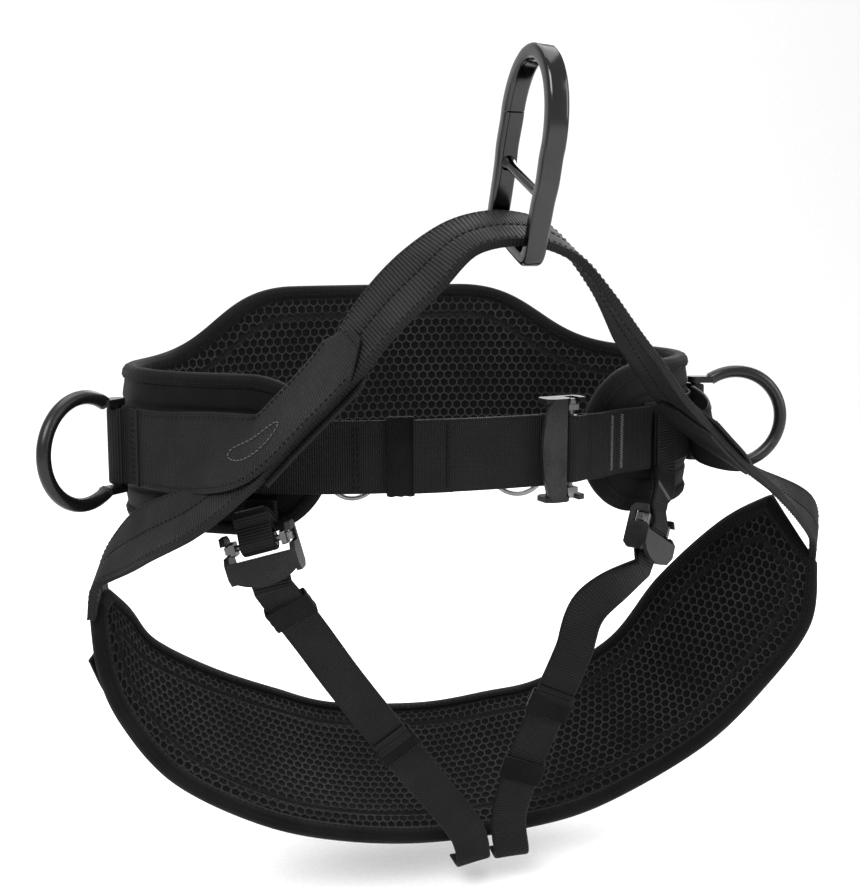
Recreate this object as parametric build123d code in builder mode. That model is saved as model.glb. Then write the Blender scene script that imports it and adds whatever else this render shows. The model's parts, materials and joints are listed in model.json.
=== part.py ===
from build123d import *
from math import atan2, cos, degrees, radians, sin
import os

# Arborist's climbing saddle: padded waist belt, padded seat sling, webbing bridge with a
# polished ring, two side rings, three gear rings and three quick-connect buckles.
# Frame: origin at the centre of the waist opening, +Z up, the buckles face -Y. Millimetres.

os.makedirs("parts", exist_ok=True)

# ---- waist belt -------------------------------------------------------------------------
waist_half_width = 198.0        # outer face of the padding, across the hips
waist_half_depth = 113.0        # outer face of the padding, front to back
cover_thickness = 1.5
foam_thickness = 8.0
mesh_thickness = 2.0
belt_top = 48.0                 # height of the belt's sides above the centre
belt_bottom = -50.0
lumbar_top = 92.0               # raised middle of the back
lumbar_bottom = -62.0
lumbar_half_flat = 66.0         # half the level part of the raised back
lumbar_foot_inset = 10.0        # the raised back meets the sides this far inside the widest point
wing_tip = 86.0                 # distance of each front wing's round end from the middle
binding_width = 7.0
binding_proud = 1.0             # binding tape stands this far off the padding

# ---- webbing ----------------------------------------------------------------------------
web_thickness = 2.2
belt_web = 45.0
side_web = 50.0
leg_web = 25.0
bridge_web = 44.0
bridge_thickness = 5.0
layer_gap = 0.3                 # air between webbing layers and their neighbours
loop_gap = 0.25                 # air between a rod and the webbing round it

# ---- side rings -------------------------------------------------------------------------
side_ring_outer = 76.0
side_ring_bar = 9.0
side_ring_reach = 29.0          # pivot to the middle of the round part
side_ring_arm = 4.5             # thickness of the flattened arms
side_pivot_rod = 7.0
side_pivot_stand = 9.2          # pivot axis above the padding
side_ring_heading = {"left": -80.0, "right": 84.0}      # degrees from the front
side_ring_swing = {"left": 24.0, "right": 4.0}          # resting turn towards the front

# ---- bridge ring ------------------------------------------------------------------------
ring_bar = 9.0                  # in the ring's own plane
ring_depth = 12.0               # across the ring's plane
slot_clearance = 2.0            # each side of the bridge webbing
bar_clearance = 0.6             # between the ring's bar and the webbing on it
slot_height = 29.0
crossbar = 6.0
eye_half_width = 22.5
eye_height = 63.0
ring_yaw = 2.0                  # turn of the ring about the upright axis
ring_lean = 22.0                # lean of the ring to the front

# ---- gear rings -------------------------------------------------------------------------
gear_wire = 4.0
gear_half_width = 21.0
gear_side = 12.0
gear_corner = 6.0
gear_headings = (-147.0, 184.0, 147.0)
gear_tab_web = 22.0
gear_pivot_height = -33.0
gear_pivot_stand = 9.4

# ---- quick-connect buckles --------------------------------------------------------------
rod_radius = 1.6                # fixed rod that holds the adjustable strap
rod_place = -11.0               # from the buckle's centre, towards the strap
pin_radius = 4.2                # lift-out pin that holds the belt tab
pin_place = 4.0
pin_rise = 1.5
plate_thickness = 3.0
plate_back = 6.9                # back face of the plate above the buckle's centre
plate_front_end = 21.0
cheek_thickness = 3.3
cheek_bottom = -6.0
cheek_end = 12.5
latch_travel = 2.5
latch_head = 3.4
latch_half = 4.2
tongue_half = 2.3
latch_gap = 1.3                 # latch to the frame's cheek and slot
stem_radius = 1.9
spring_radius = 2.0
spring_length = 3.0
fit_gap = 0.3
hole_depth = 13.0
hole_wall = 1.2                 # least metal between the pin's two holes

# ---- seat -------------------------------------------------------------------------------
seat_pad = 12.0
seat_drop = 290.0               # lowest edge of the seat below the belt's centre

# Free-hanging routes: (across, forward, height). Across is in belt half widths, forward in
# belt half depths and height in millimetres. The second list gives each point's flat
# direction, along the webbing's width.
bridge_route = [
    (-1.106, 0.106, -106), (-1.101, 0.150, -86), (-1.051, 0.265, -68), (-0.970, 0.610, -48),
    (-0.850, 0.890, -29), (-0.722, 1.110, -3), (-0.601, 1.260, 26), (-0.470, 1.375, 56),
    (-0.364, 1.460, 87), (-0.248, 1.525, 112), (-0.121, 1.542, 132), (0.035, 1.558, 137),
    (0.187, 1.508, 128), (0.323, 1.469, 101), (0.475, 1.345, 65), (0.657, 1.150, 29),
    (0.909, 0.858, -7), (1.192, 0.584, -41), (1.455, 0.336, -73), (1.520, 0.220, -98),
]
bridge_flat = [
    (-0.30, -0.95, -0.05), (-0.20, -0.97, -0.10), (-0.10, -0.95, -0.30), (0.02, -0.90, -0.42),
    (0.02, -0.90, -0.42), (0.05, -0.93, -0.36), (0.12, -0.96, -0.25), (0.18, -0.96, -0.20),
    (0.22, -0.88, -0.38), (0.22, -0.83, -0.46), (0.03, -0.93, -0.37), (0.03, -0.93, -0.37),
    (0.03, -0.93, -0.37), (-0.21, -0.96, -0.03), (-0.20, -0.92, 0.21), (-0.28, -0.89, 0.24),
    (-0.40, -0.87, 0.20), (-0.48, -0.84, 0.10), (-0.45, -0.75, -0.40), (-0.45, -0.65, -0.60),
]
# Seat: rear edge and front edge, left to right; heights are in parts of the seat's drop.
seat_rear = [
    (-1.081, 0.044, -0.338), (-1.010, -0.106, -0.400), (-0.919, -0.265, -0.500),
    (-0.697, -0.487, -0.614), (-0.455, -0.619, -0.700), (-0.222, -0.708, -0.766),
    (0.141, -0.752, -0.797), (0.404, -0.743, -0.783), (0.636, -0.708, -0.755),
    (0.904, -0.575, -0.640), (1.066, -0.398, -0.455), (1.245, -0.133, -0.290),
    (1.345, 0.177, -0.205),
]
seat_front = [
    (-1.121, 0.195, -0.355), (-1.106, 0.310, -0.500), (-1.035, 0.372, -0.620),
    (-0.880, 0.407, -0.755), (-0.600, 0.398, -0.875), (-0.320, 0.354, -0.945),
    (0.000, 0.310, -0.985), (0.354, 0.265, -0.990), (0.662, 0.265, -0.955),
    (1.035, 0.354, -0.821), (1.263, 0.425, -0.672), (1.439, 0.442, -0.517),
    (1.485, 0.354, -0.372),
]


def place(point):
    """A free-hanging point in millimetres."""
    return Vector(point[0] * waist_half_width, -point[1] * waist_half_depth, point[2])


def seat_place(point):
    """A point of the seat's edge in millimetres."""
    return place((point[0], point[1], point[2] * seat_drop))


def smooth(points, u):
    """The point at u, counted in points, on a smooth curve through the points."""
    last = len(points) - 1
    i = min(int(u), last - 1)
    t = u - i
    a, b, c, d = (points[min(max(k, 0), last)] for k in (i - 1, i, i + 1, i + 2))
    return (b * 2 + (c - a) * t + (a * 2 - b * 5 + c * 4 - d) * t**2
            + (b * 3 - a - c * 3 + d) * t**3) * 0.5


def belt_point(heading, stand, height=0.0):
    """A point of the belt, heading in degrees from the front, stand off the padding."""
    h = radians(heading)
    return Vector((waist_half_width + stand) * sin(h), -(waist_half_depth + stand) * cos(h), height)


def belt_normal(heading):
    """Level outward direction of the belt at a heading."""
    h = radians(heading)
    return Vector(sin(h) / waist_half_width, -cos(h) / waist_half_depth, 0).normalized()


def steps(first, last, count):
    """Evenly spaced values from first to last."""
    return [first + (last - first) * k / count for k in range(count + 1)]


def save(part, label):
    """Name a finished piece and write it."""
    part.label = label
    export_step(part, f"parts/{label}.step")


# ---- shared solids ----------------------------------------------------------------------
def hoop(stand_in, stand_out, low, high):
    """A level oval wall that follows the belt."""
    with BuildPart() as wall:
        with BuildSketch(Plane.XY.offset(low)):
            Ellipse(waist_half_width + stand_out, waist_half_depth + stand_out)
            Ellipse(waist_half_width + stand_in, waist_half_depth + stand_in, mode=Mode.SUBTRACT)
        extrude(amount=high - low)
    return wall.part


def belt_outline(inset):
    """Solid whose front view is the belt's outline: raised back, round-ended wings."""
    reach = waist_half_width * 1.2
    foot_reach = waist_half_width - lumbar_foot_inset
    depth = waist_half_depth * 1.2
    top, bottom = belt_top - inset, belt_bottom + inset
    hump, hollow = lumbar_top - inset, lumbar_bottom + inset
    wing_radius = (top - bottom) / 2
    wing_middle = (top + bottom) / 2
    wing_centre = wing_tip + inset + wing_radius
    bend = (foot_reach - lumbar_half_flat) / 2
    with BuildPart() as shape:
        with BuildSketch(Plane.XZ):
            with BuildLine():
                for side in (1, -1):
                    foot, flat = side * foot_reach, side * lumbar_half_flat
                    knee, ankle = flat + side * bend, foot - side * bend
                    Bezier((foot, top), (ankle, top), (knee, hump), (flat, hump))
                    Bezier((foot, bottom), (ankle, bottom), (knee, hollow), (flat, hollow))
                    Polyline((foot, top), (side * reach, top), (side * reach, bottom), (foot, bottom))
                Line((-lumbar_half_flat, hump), (lumbar_half_flat, hump))
                Line((-lumbar_half_flat, hollow), (lumbar_half_flat, hollow))
            make_face()
        extrude(amount=-depth)
        with BuildSketch(Plane.XZ):
            for side in (1, -1):
                with Locations((side * wing_centre, wing_middle)):
                    Circle(wing_radius)
                with Locations((side * (wing_centre + reach) / 2, wing_middle)):
                    Rectangle(reach - wing_centre, top - bottom)
        extrude(amount=depth)
    return shape.part


def ribbon(points, flats, width, thickness, first, last, count, lift=0.0):
    """Webbing along a smooth curve: straight-sided between evenly spaced cross sections."""
    with BuildPart() as strip:
        for u in steps(first, last, count):
            ahead = (smooth(points, min(u + 0.05, len(points) - 1)) - smooth(points, max(u - 0.05, 0)))
            section = Plane(smooth(points, u), x_dir=smooth(flats, u), z_dir=ahead)
            with BuildSketch(section):
                with Locations((0, lift)):
                    Rectangle(width, thickness)
        loft(ruled=True)
    return strip.part


def belt_ribbon(stand, width, headings, height=0.0, thickness=web_thickness):
    """Upright webbing round the belt; stand is its inner face, one value for each heading."""
    with BuildPart() as strip:
        for heading, away in zip(headings, stand):
            out = belt_normal(heading)
            centre = belt_point(heading, away + thickness / 2, height)
            with BuildSketch(Plane(centre, x_dir=out, z_dir=out.cross(Vector(0, 0, 1)))):
                Rectangle(thickness, width)
        loft(ruled=True)
    return strip.part


def seat_patch(first, last, low, high, under, over, count=24):
    """Part of the seat: along it from first to last, across it from low to high (0 at the
    front edge, 1 at the rear), through it from under to over in millimetres."""
    rear = [seat_place(p) for p in seat_rear]
    front = [seat_place(p) for p in seat_front]
    last_point = len(rear) - 1
    with BuildPart() as patch:
        for share in steps(first, last, count):
            u = share * last_point
            a, b = smooth(front, u), smooth(rear, u)
            before, after = max(u - 0.05, 0), min(u + 0.05, last_point)
            along = smooth(front, after) - smooth(front, before)
            along = along + smooth(rear, after) - smooth(rear, before)
            across = b - a
            section = Plane(a, x_dir=across, z_dir=along)
            span = across - section.z_dir * across.dot(section.z_dir)
            left, right = low(span.length), high(span.length)
            with BuildSketch(section):
                with Locations(((left + right) / 2, (under + over) / 2)):
                    Rectangle(right - left, over - under)
        loft(ruled=True)
    return patch.part


# ---- belt padding -----------------------------------------------------------------------
padding = cover_thickness + foam_thickness + mesh_thickness
belt_low, belt_high = lumbar_bottom - 5, lumbar_top + 5


def belt_layer(stand_in, stand_out):
    """One layer of the belt's padding, inside the binding."""
    wall, outline = hoop(stand_in, stand_out, belt_low, belt_high), belt_outline(binding_width)
    with BuildPart() as layer:
        add(wall)
        add(outline, mode=Mode.INTERSECT)
    return layer.part


def belt_binding():
    """Tape folded round the whole edge of the belt."""
    wall = hoop(-padding - binding_proud, binding_proud, belt_low, belt_high)
    edge, middle = belt_outline(0), belt_outline(binding_width)
    with BuildPart() as tape:
        add(wall)
        add(edge, mode=Mode.INTERSECT)
        add(middle, mode=Mode.SUBTRACT)
    return tape.part


save(belt_layer(-cover_thickness, 0), "belt_cover")
save(belt_layer(-cover_thickness - foam_thickness, -cover_thickness), "belt_foam")
save(belt_layer(-padding, -cover_thickness - foam_thickness), "belt_mesh_liner")
save(belt_binding(), "belt_binding")

# ---- webbing round the belt -------------------------------------------------------------
strap_stand = 2 * web_thickness + layer_gap + binding_proud      # front strap's inner face
tail_stand = strap_stand + web_thickness + layer_gap
buckle_heading = 17.6
buckle_stand = strap_stand + web_thickness + layer_gap / 2
waist_web_end = {"left": -36.0, "right": 41.0}
web_stand = layer_gap
save(belt_ribbon([web_stand] * 81, belt_web,
                 steps(waist_web_end["right"], 360 + waist_web_end["left"], 80)), "waist_webbing")


# ---- quick-connect buckle ---------------------------------------------------------------
def side_plane(buckle):
    """Plane across a buckle: x towards the belt tab, y outwards."""
    return Plane(buckle.origin, x_dir=buckle.x_dir, z_dir=-buckle.y_dir)


def at_end(buckle, end, distance):
    """The side plane moved along the pin to one end."""
    return side_plane(buckle).offset(end * distance)


def cheek_inner(web):
    """Inner face of the frame's cheeks, from the middle."""
    return web / 2 + latch_head + latch_gap + latch_travel - 0.5


def pin_hole(web):
    """Depth of each hole in the lift-out pin."""
    return min(hole_depth, (web - 3 - hole_wall) / 2)


def buckle_frame(buckle, web):
    """Plate with two cheeks, open outwards for the pin, and the strap's rod."""
    inner = cheek_inner(web)
    outer = inner + cheek_thickness
    plate_inner_end = pin_place - pin_radius - web_thickness - 1.0
    slot = tongue_half + latch_gap
    with BuildPart() as frame:
        with BuildSketch(buckle.offset(plate_back)):
            with BuildLine():
                ThreePointArc((-plate_front_end + 5, -outer + 4), (-plate_front_end, 0),
                              (-plate_front_end + 5, outer - 4))
                Polyline((-plate_front_end + 5, outer - 4), (-plate_front_end + 9, outer),
                         (plate_inner_end, outer), (plate_inner_end, -outer),
                         (-plate_front_end + 9, -outer), (-plate_front_end + 5, -outer + 4))
            make_face()
        extrude(amount=plate_thickness)
        for end in (-1, 1):
            with BuildSketch(at_end(buckle, end, (inner + outer) / 2)):
                with BuildLine():
                    Polyline((-plate_front_end + 9, plate_back + plate_thickness),
                             (plate_inner_end, plate_back + plate_thickness),
                             (pin_place - slot, pin_rise + 5.5), (pin_place - slot, pin_rise - slot),
                             (pin_place + slot, pin_rise - slot), (pin_place + slot, pin_rise + 5.5),
                             (cheek_end, pin_rise + 4), (cheek_end, cheek_bottom + 3),
                             (cheek_end - 3, cheek_bottom), (-plate_front_end + 7, cheek_bottom),
                             (-plate_front_end + 4, cheek_bottom + 3), (-plate_front_end + 4, plate_back),
                             (-plate_front_end + 9, plate_back + plate_thickness))
                make_face()
            extrude(amount=cheek_thickness / 2, both=True)
        with BuildSketch(side_plane(buckle)):
            with Locations((rod_place, 0)):
                Circle(rod_radius)
        extrude(amount=inner, both=True)
    return frame.part


def buckle_pin(buckle, web):
    """Lift-out pin, bored at both ends for the latches."""
    half = web / 2 - 1.5
    with BuildPart() as pin:
        with BuildSketch(side_plane(buckle)):
            with Locations((pin_place, pin_rise)):
                Circle(pin_radius)
        extrude(amount=half, both=True)
        for end in (-1, 1):
            with BuildSketch(at_end(buckle, end, half - pin_hole(web) / 2)):
                with Locations((pin_place, pin_rise)):
                    Circle(stem_radius + fit_gap)
            extrude(amount=pin_hole(web) / 2, both=True, mode=Mode.SUBTRACT)
    return pin.part


def buckle_latch(buckle, web, end):
    """Sliding latch: finger tab, tongue into the cheek, stem into the pin."""
    head_out = cheek_inner(web) - latch_gap
    head_in = head_out - latch_head
    pin_half = web / 2 - 1.5
    stem_in = pin_half - pin_hole(web) + spring_length + latch_travel + 2 * fit_gap
    with BuildPart() as latch:
        with BuildSketch(at_end(buckle, end, (head_in + head_out) / 2)):
            with Locations((pin_place, pin_rise)):
                RectangleRounded(2 * latch_half, 2 * latch_half, 1.2)
        extrude(amount=latch_head / 2, both=True)
        with BuildSketch(at_end(buckle, end, head_out + 1.7)):
            with Locations((pin_place, pin_rise)):
                Rectangle(2 * tongue_half, 2 * tongue_half)
        extrude(amount=1.9, both=True)
        with BuildSketch(at_end(buckle, end, (stem_in + head_in) / 2)):
            with Locations((pin_place, pin_rise)):
                Circle(stem_radius)
        extrude(amount=(head_in - stem_in) / 2, both=True)
    return latch.part


def buckle_springs(buckle, web):
    """The two latch springs, as closed sleeves at the bottom of the pin's holes."""
    middle = web / 2 - 1.5 - pin_hole(web) + spring_length / 2
    with BuildPart() as springs:
        for end in (-1, 1):
            with BuildSketch(at_end(buckle, end, middle)):
                with Locations((pin_place, pin_rise)):
                    Circle(spring_radius)
                    Circle(spring_radius / 2, mode=Mode.SUBTRACT)
            extrude(amount=spring_length / 2, both=True)
    return springs.part


def web_eye(buckle, width, centre, radius, tongue_start, tongue_end, rise):
    """Webbing round a rod, its two layers stitched together beside it."""
    inner = radius + loop_gap
    low, high = sorted((tongue_start, tongue_end))
    with BuildPart() as eye:
        with BuildSketch(side_plane(buckle)):
            with Locations((centre, rise)):
                Circle(inner + web_thickness)
            with Locations(((low + high) / 2, rise)):
                Rectangle(high - low, 2 * web_thickness)
            with Locations((centre, rise)):
                Circle(inner, mode=Mode.SUBTRACT)
        extrude(amount=width / 2, both=True)
    return eye.part


def tab_eye(buckle, web):
    """Belt tab's eye round the lift-out pin."""
    return web_eye(buckle, web - 3, pin_place, pin_radius, pin_place, pin_place + 11, pin_rise)


def strap_eye(buckle, web):
    """Adjustable strap's turn round the frame's rod."""
    return web_eye(buckle, web, rod_place, rod_radius, rod_place, -plate_front_end - 4, 0)


# ---- front of the belt: strap, tail, keeper, waist buckle -------------------------------
def belt_plane(heading, stand, height=0.0):
    """Plane facing out of the belt, x along the belt towards +X at the front."""
    out = belt_normal(heading)
    return Plane(belt_point(heading, stand, height), x_dir=Vector(0, 0, 1).cross(out), z_dir=out)


waist_buckle = belt_plane(buckle_heading, buckle_stand)
strap_end = waist_buckle.from_local_coords((-plate_front_end - 3, 0, 0))
strap_end_heading = degrees(atan2(strap_end.X / (waist_half_width + buckle_stand),
                                  -strap_end.Y / (waist_half_depth + buckle_stand)))
strap_headings = steps(-46, strap_end_heading, 16)
tail_headings = steps(-10, strap_end_heading - 1, 6)
keeper_heading = -12.5


def front_strap():
    """Adjustable strap: from the left wing to its turn round the buckle's rod."""
    strip = belt_ribbon([strap_stand] * len(strap_headings), belt_web, strap_headings)
    turn = strap_eye(waist_buckle, belt_web)
    with BuildPart() as strap:
        add(strip)
        add(turn)
    return strap.part


def keeper(middle, width, thickness, length):
    """Elastic band round a strap; x of the plane is the strap's width."""
    band = 1.5
    slack = 0.7
    with BuildPart() as ring:
        with BuildSketch(middle):
            Rectangle(width + 2 * (slack + band), thickness + 2 * (slack + band))
            Rectangle(width + 2 * slack, thickness + 2 * slack, mode=Mode.SUBTRACT)
        extrude(amount=length / 2, both=True)
    return ring.part


save(front_strap(), "front_strap")
save(belt_ribbon([tail_stand] * len(tail_headings), belt_web, tail_headings), "front_strap_tail")
keeper_seat = belt_plane(keeper_heading, strap_stand + web_thickness / 2)
save(keeper(Plane(keeper_seat.origin, x_dir=(0, 0, 1), z_dir=keeper_seat.x_dir), belt_web,
            web_thickness, 17), "front_strap_keeper")

# ---- leg buckles ------------------------------------------------------------------------
leg_buckle_place = {"left": (-0.650, 0.965, -53.0), "right": (0.655, 0.900, -60.0)}
leg_buckle_yaw = {"left": -24.0, "right": 38.0}
leg_buckle_roll = {"left": -16.0, "right": 26.0}


def leg_buckle(side):
    """Plane of a leg buckle: x up to the belt tab, z outwards."""
    yaw, roll = radians(leg_buckle_yaw[side]), radians(leg_buckle_roll[side])
    out = Vector(sin(yaw), -cos(yaw), 0)
    level = Vector(cos(yaw), sin(yaw), 0)
    return Plane(place(leg_buckle_place[side]), x_dir=Vector(0, 0, 1) * cos(roll) + level * sin(roll),
                 z_dir=out)


def save_buckle(name, buckle, web):
    """Write the pieces of one buckle."""
    save(buckle_frame(buckle, web), f"{name}_buckle_frame")
    save(buckle_pin(buckle, web), f"{name}_buckle_pin")
    save(buckle_latch(buckle, web, -1), f"{name}_buckle_latch_a")
    save(buckle_latch(buckle, web, 1), f"{name}_buckle_latch_b")
    save(buckle_springs(buckle, web), f"{name}_buckle_springs")
    save(tab_eye(buckle, web), f"{name}_tab_eye")


save_buckle("waist", waist_buckle, belt_web)
leg_buckles = {side: leg_buckle(side) for side in ("left", "right")}
for side, buckle in leg_buckles.items():
    save_buckle(f"{side}_leg", buckle, leg_web)


# ---- tabs that tie the buckles to the belt ----------------------------------------------
def tab(buckle, anchors, flats, width):
    """Doubled webbing from a pin's eye to the belt."""
    start = buckle.from_local_coords((pin_place + 11 + 2 * layer_gap, 0, pin_rise))
    near = start + buckle.x_dir * ((anchors[0] - start).length / 3)
    points = [start, near] + anchors
    across = [buckle.y_dir, buckle.y_dir] + flats
    return ribbon(points, across, width - 3, 2 * web_thickness, 0, len(points) - 1, 2 * len(points))


tab_stand = web_stand + 2 * web_thickness + layer_gap
up = Vector(0, 0, 1)
save(tab(waist_buckle, [belt_point(h, tab_stand) for h in (31, 36, 41)], [up, up, up], belt_web),
     "waist_tab")


def leg_tab(side):
    """Doubled webbing from the wing down to a leg buckle."""
    heading = {"left": -39.0, "right": 47.0}[side]
    out = belt_normal(heading)
    level = up.cross(out)
    stand = tab_stand + 3 * layer_gap if side == "right" else web_stand + web_thickness
    heights = (-26, -6, 16) if side == "right" else (-38, -33, -27)
    anchors = [belt_point(heading, stand, z) for z in heights]
    flat = leg_buckles[side].y_dir
    level = level if level.dot(flat) > 0 else -level
    return tab(leg_buckles[side], anchors, [level] * 3, leg_web)


for side in leg_buckles:
    save(leg_tab(side), f"{side}_leg_tab")

# ---- side rings and their keepers -------------------------------------------------------
keeper_wall = web_thickness
side_pivots = {}
for side, heading in side_ring_heading.items():
    side_pivots[side] = belt_plane(heading, side_pivot_stand)


def side_ring(side):
    """Ring with flattened arms, straight rod upright in the belt."""
    pivot = side_pivots[side]
    turn = side_ring_swing[side] if side == "right" else -side_ring_swing[side]
    out = pivot.z_dir.rotate(Axis.Z, -turn)
    face = Plane(pivot.origin, x_dir=out, z_dir=out.cross(up))
    wire = (side_ring_outer - side_ring_bar) / 2
    arm_middle = side_web / 2 + 0.7 + side_ring_arm / 2
    opening = degrees(atan2(arm_middle, (wire**2 - arm_middle**2) ** 0.5))
    join = side_ring_reach - (wire**2 - arm_middle**2) ** 0.5
    with BuildPart() as ring:
        with BuildLine(face) as bow:
            CenterArc((side_ring_reach, 0), wire, opening - 180, 360 - 2 * opening)
        with BuildSketch(Plane(bow.line @ 0, z_dir=bow.line % 0)):
            Circle(side_ring_bar / 2)
        sweep(path=bow.line)
        for end in (-1, 1):
            with BuildSketch(Plane(pivot.origin + up * end * arm_middle, x_dir=out, z_dir=up)):
                with Locations(((join - 1) / 2, 0)):
                    SlotOverall(join + 11, side_pivot_rod + 3)
            extrude(amount=side_ring_arm / 2, both=True)
        with BuildSketch(Plane(pivot.origin, z_dir=up)):
            Circle(side_pivot_rod / 2)
        extrude(amount=arm_middle, both=True)
    return ring.part


def side_keeper(side):
    """Webbing folded round the ring's rod and sewn to the belt."""
    pivot = side_pivots[side]
    inner = side_pivot_rod / 2 + loop_gap
    lay = web_thickness + layer_gap + web_stand
    with BuildPart() as fold:
        with BuildSketch(Plane(pivot.origin, x_dir=pivot.x_dir, z_dir=up)):
            Circle(inner + keeper_wall)
            for end in (-1, 1):
                with Locations((end * 9, lay - side_pivot_stand + 1.0)):
                    Rectangle(18, 2.0)
            Circle(inner, mode=Mode.SUBTRACT)
        extrude(amount=side_web / 2, both=True)
    return fold.part


for side in side_pivots:
    save(side_ring(side), f"side_ring_{side}")
    save(side_keeper(side), f"side_keeper_{side}")

# ---- bridge: webbing, ring and sleeves --------------------------------------------------
bridge_points = [place(p) for p in bridge_route]
bridge_flats = [Vector(*f) for f in bridge_flat]
bridge_last = len(bridge_points) - 1
strap_from, strap_to = 0.5, bridge_last - 0.6      # clear of the seat's bound ends
save(ribbon(bridge_points, bridge_flats, bridge_web, bridge_thickness, strap_from, strap_to, 36),
     "bridge_strap")
crown = 11
yaw, lean = radians(ring_yaw), radians(ring_lean)
ring_side = Vector(sin(yaw) * cos(lean), -cos(yaw) * cos(lean), -sin(lean))
ring_up = Vector(sin(yaw) * sin(lean), -cos(yaw) * sin(lean), cos(lean))
ring_drop = bridge_thickness / 2 + ring_bar / 2 + bar_clearance
ring_plane = Plane(bridge_points[crown] - ring_up * ring_drop, x_dir=ring_side,
                   z_dir=ring_side.cross(ring_up))


def bridge_ring():
    """Forged ring: narrow slot for the webbing, crossbar, wider eye above."""
    slot = bridge_web / 2 + slot_clearance
    outer = slot + ring_bar
    shoulder = ring_bar / 2 + slot_height
    eye_low = shoulder + crossbar
    eye_outer = eye_half_width + ring_bar
    arc_low = eye_low + eye_height - eye_half_width
    with BuildPart() as ring:
        with BuildSketch(ring_plane):
            with BuildLine():
                Polyline((-outer, eye_low + 2), (-outer, 3), (-outer + 7, -ring_bar / 2),
                         (outer - 7, -ring_bar / 2), (outer, 3), (outer, eye_low + 2),
                         (eye_outer, eye_low + 20), (eye_outer, arc_low))
                ThreePointArc((eye_outer, arc_low), (0, arc_low + eye_outer), (-eye_outer, arc_low))
                Polyline((-eye_outer, arc_low), (-eye_outer, eye_low + 20), (-outer, eye_low + 2))
            make_face()
            with Locations((0, eye_low / 2 - ring_bar / 2)):
                Rectangle(2 * slot, eye_low + ring_bar, mode=Mode.SUBTRACT)
            with BuildLine(mode=Mode.PRIVATE) as eye:
                Polyline((-eye_half_width, arc_low), (-eye_half_width, eye_low + 20), (-slot, eye_low),
                         (slot, eye_low), (eye_half_width, eye_low + 20), (eye_half_width, arc_low))
                ThreePointArc((eye_half_width, arc_low), (0, arc_low + eye_half_width),
                              (-eye_half_width, arc_low))
            make_face(eye.edges(), mode=Mode.SUBTRACT)
        extrude(amount=ring_depth / 2, both=True)
        with BuildSketch(Plane(ring_plane.origin, x_dir=ring_plane.y_dir, z_dir=ring_plane.x_dir)):
            Circle(ring_bar / 2)
            with Locations((eye_low - crossbar / 2, 0)):
                Circle(crossbar / 2)
        extrude(amount=slot + 1, both=True)
    return ring.part


save(bridge_ring(), "bridge_ring")
sleeve_gap = 0.5
sleeve_wall = web_thickness
sleeve_span = {"left": (5.3, 6.9), "right": (15.2, 16.7)}


def sleeve_route(side):
    """Side webbing's route from the side ring's keeper to the rear edge of its sleeve."""
    first, last = sleeve_span[side]
    middle = (first + last) / 2
    ahead = (smooth(bridge_points, middle + 0.1) - smooth(bridge_points, middle - 0.1)).normalized()
    rising = ahead if ahead.Z > 0 else -ahead
    flat = smooth(bridge_flats, middle).normalized()
    sleeve_edge = bridge_web / 2 + sleeve_gap + sleeve_wall / 2
    end = smooth(bridge_points, middle) - flat * sleeve_edge
    headings = (-66, -58, -50) if side == "left" else (70, 63, 56)
    stands = (5, 8.5, 10.5) if side == "left" else (5, 8.5, 12)
    starts = [belt_point(heading, stand, 0) for heading, stand in zip(headings, stands)]
    return starts + [end], [up, up, (up * 2 + rising).normalized(), rising]


def bridge_sleeve(side):
    """Webbing from a side ring's keeper, wrapped round the bridge strap."""
    first, last = sleeve_span[side]
    wide = bridge_web + 2 * sleeve_gap
    thick = bridge_thickness + 2 * sleeve_gap
    wrap = ribbon(bridge_points, bridge_flats, wide + 2 * sleeve_wall, thick + 2 * sleeve_wall,
                  first, last, 6)
    points, flats = sleeve_route(side)
    tie = ribbon(points, flats, side_web - 2, web_thickness, 0, 3, 9)
    passage = ribbon(bridge_points, bridge_flats, wide, thick, first - 1.6, last + 1.2, 18)
    with BuildPart() as sleeve:
        add(wrap)
        add(tie)
        add(passage, mode=Mode.SUBTRACT)
    return sleeve.part


for side in sleeve_span:
    save(bridge_sleeve(side), f"bridge_sleeve_{side}")

# ---- seat -------------------------------------------------------------------------------
half_pad = seat_pad / 2
seat_span = (0.02, 0.98)        # padding inside the end bindings, in parts of the seat's length


def whole(span):
    """Across to the rear edge."""
    return span


def inside_rear(span):
    """Across to the rear binding."""
    return span - binding_width


def inside_front(span):
    """Across to the front binding."""
    return binding_width


def front_edge(span):
    """Across to the front edge."""
    return 0


def seat_layer(under, over):
    """One layer of the seat's padding, inside the binding."""
    return seat_patch(seat_span[0], seat_span[1], inside_front, inside_rear, under, over)


def seat_binding():
    """Tape folded round the whole edge of the seat."""
    low, high = -half_pad - binding_proud, half_pad + binding_proud
    rear = seat_patch(seat_span[0], seat_span[1], inside_rear, whole, low, high)
    front = seat_patch(seat_span[0], seat_span[1], front_edge, inside_front, low, high)
    left = seat_patch(0, seat_span[0], front_edge, whole, low, high, 1)
    right = seat_patch(seat_span[1], 1, front_edge, whole, low, high, 1)
    with BuildPart() as tape:
        add(rear)
        add(front)
        add(left)
        add(right)
    return tape.part


def load_low(span):
    """Near edge of the load webbing under the seat."""
    return max(span / 2 - belt_web / 2, 1)


def load_high(span):
    """Far edge of the load webbing under the seat."""
    return min(span / 2 + belt_web / 2, span - 1)


save(seat_layer(-half_pad, -half_pad + cover_thickness), "seat_cover")
save(seat_layer(-half_pad + cover_thickness, half_pad - mesh_thickness), "seat_foam")
save(seat_layer(half_pad - mesh_thickness, half_pad), "seat_mesh_liner")
save(seat_binding(), "seat_binding")
load_top = -half_pad - binding_proud - 3 * layer_gap
save(seat_patch(0, 1, load_low, load_high, load_top - web_thickness, load_top), "seat_load_webbing")

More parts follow.
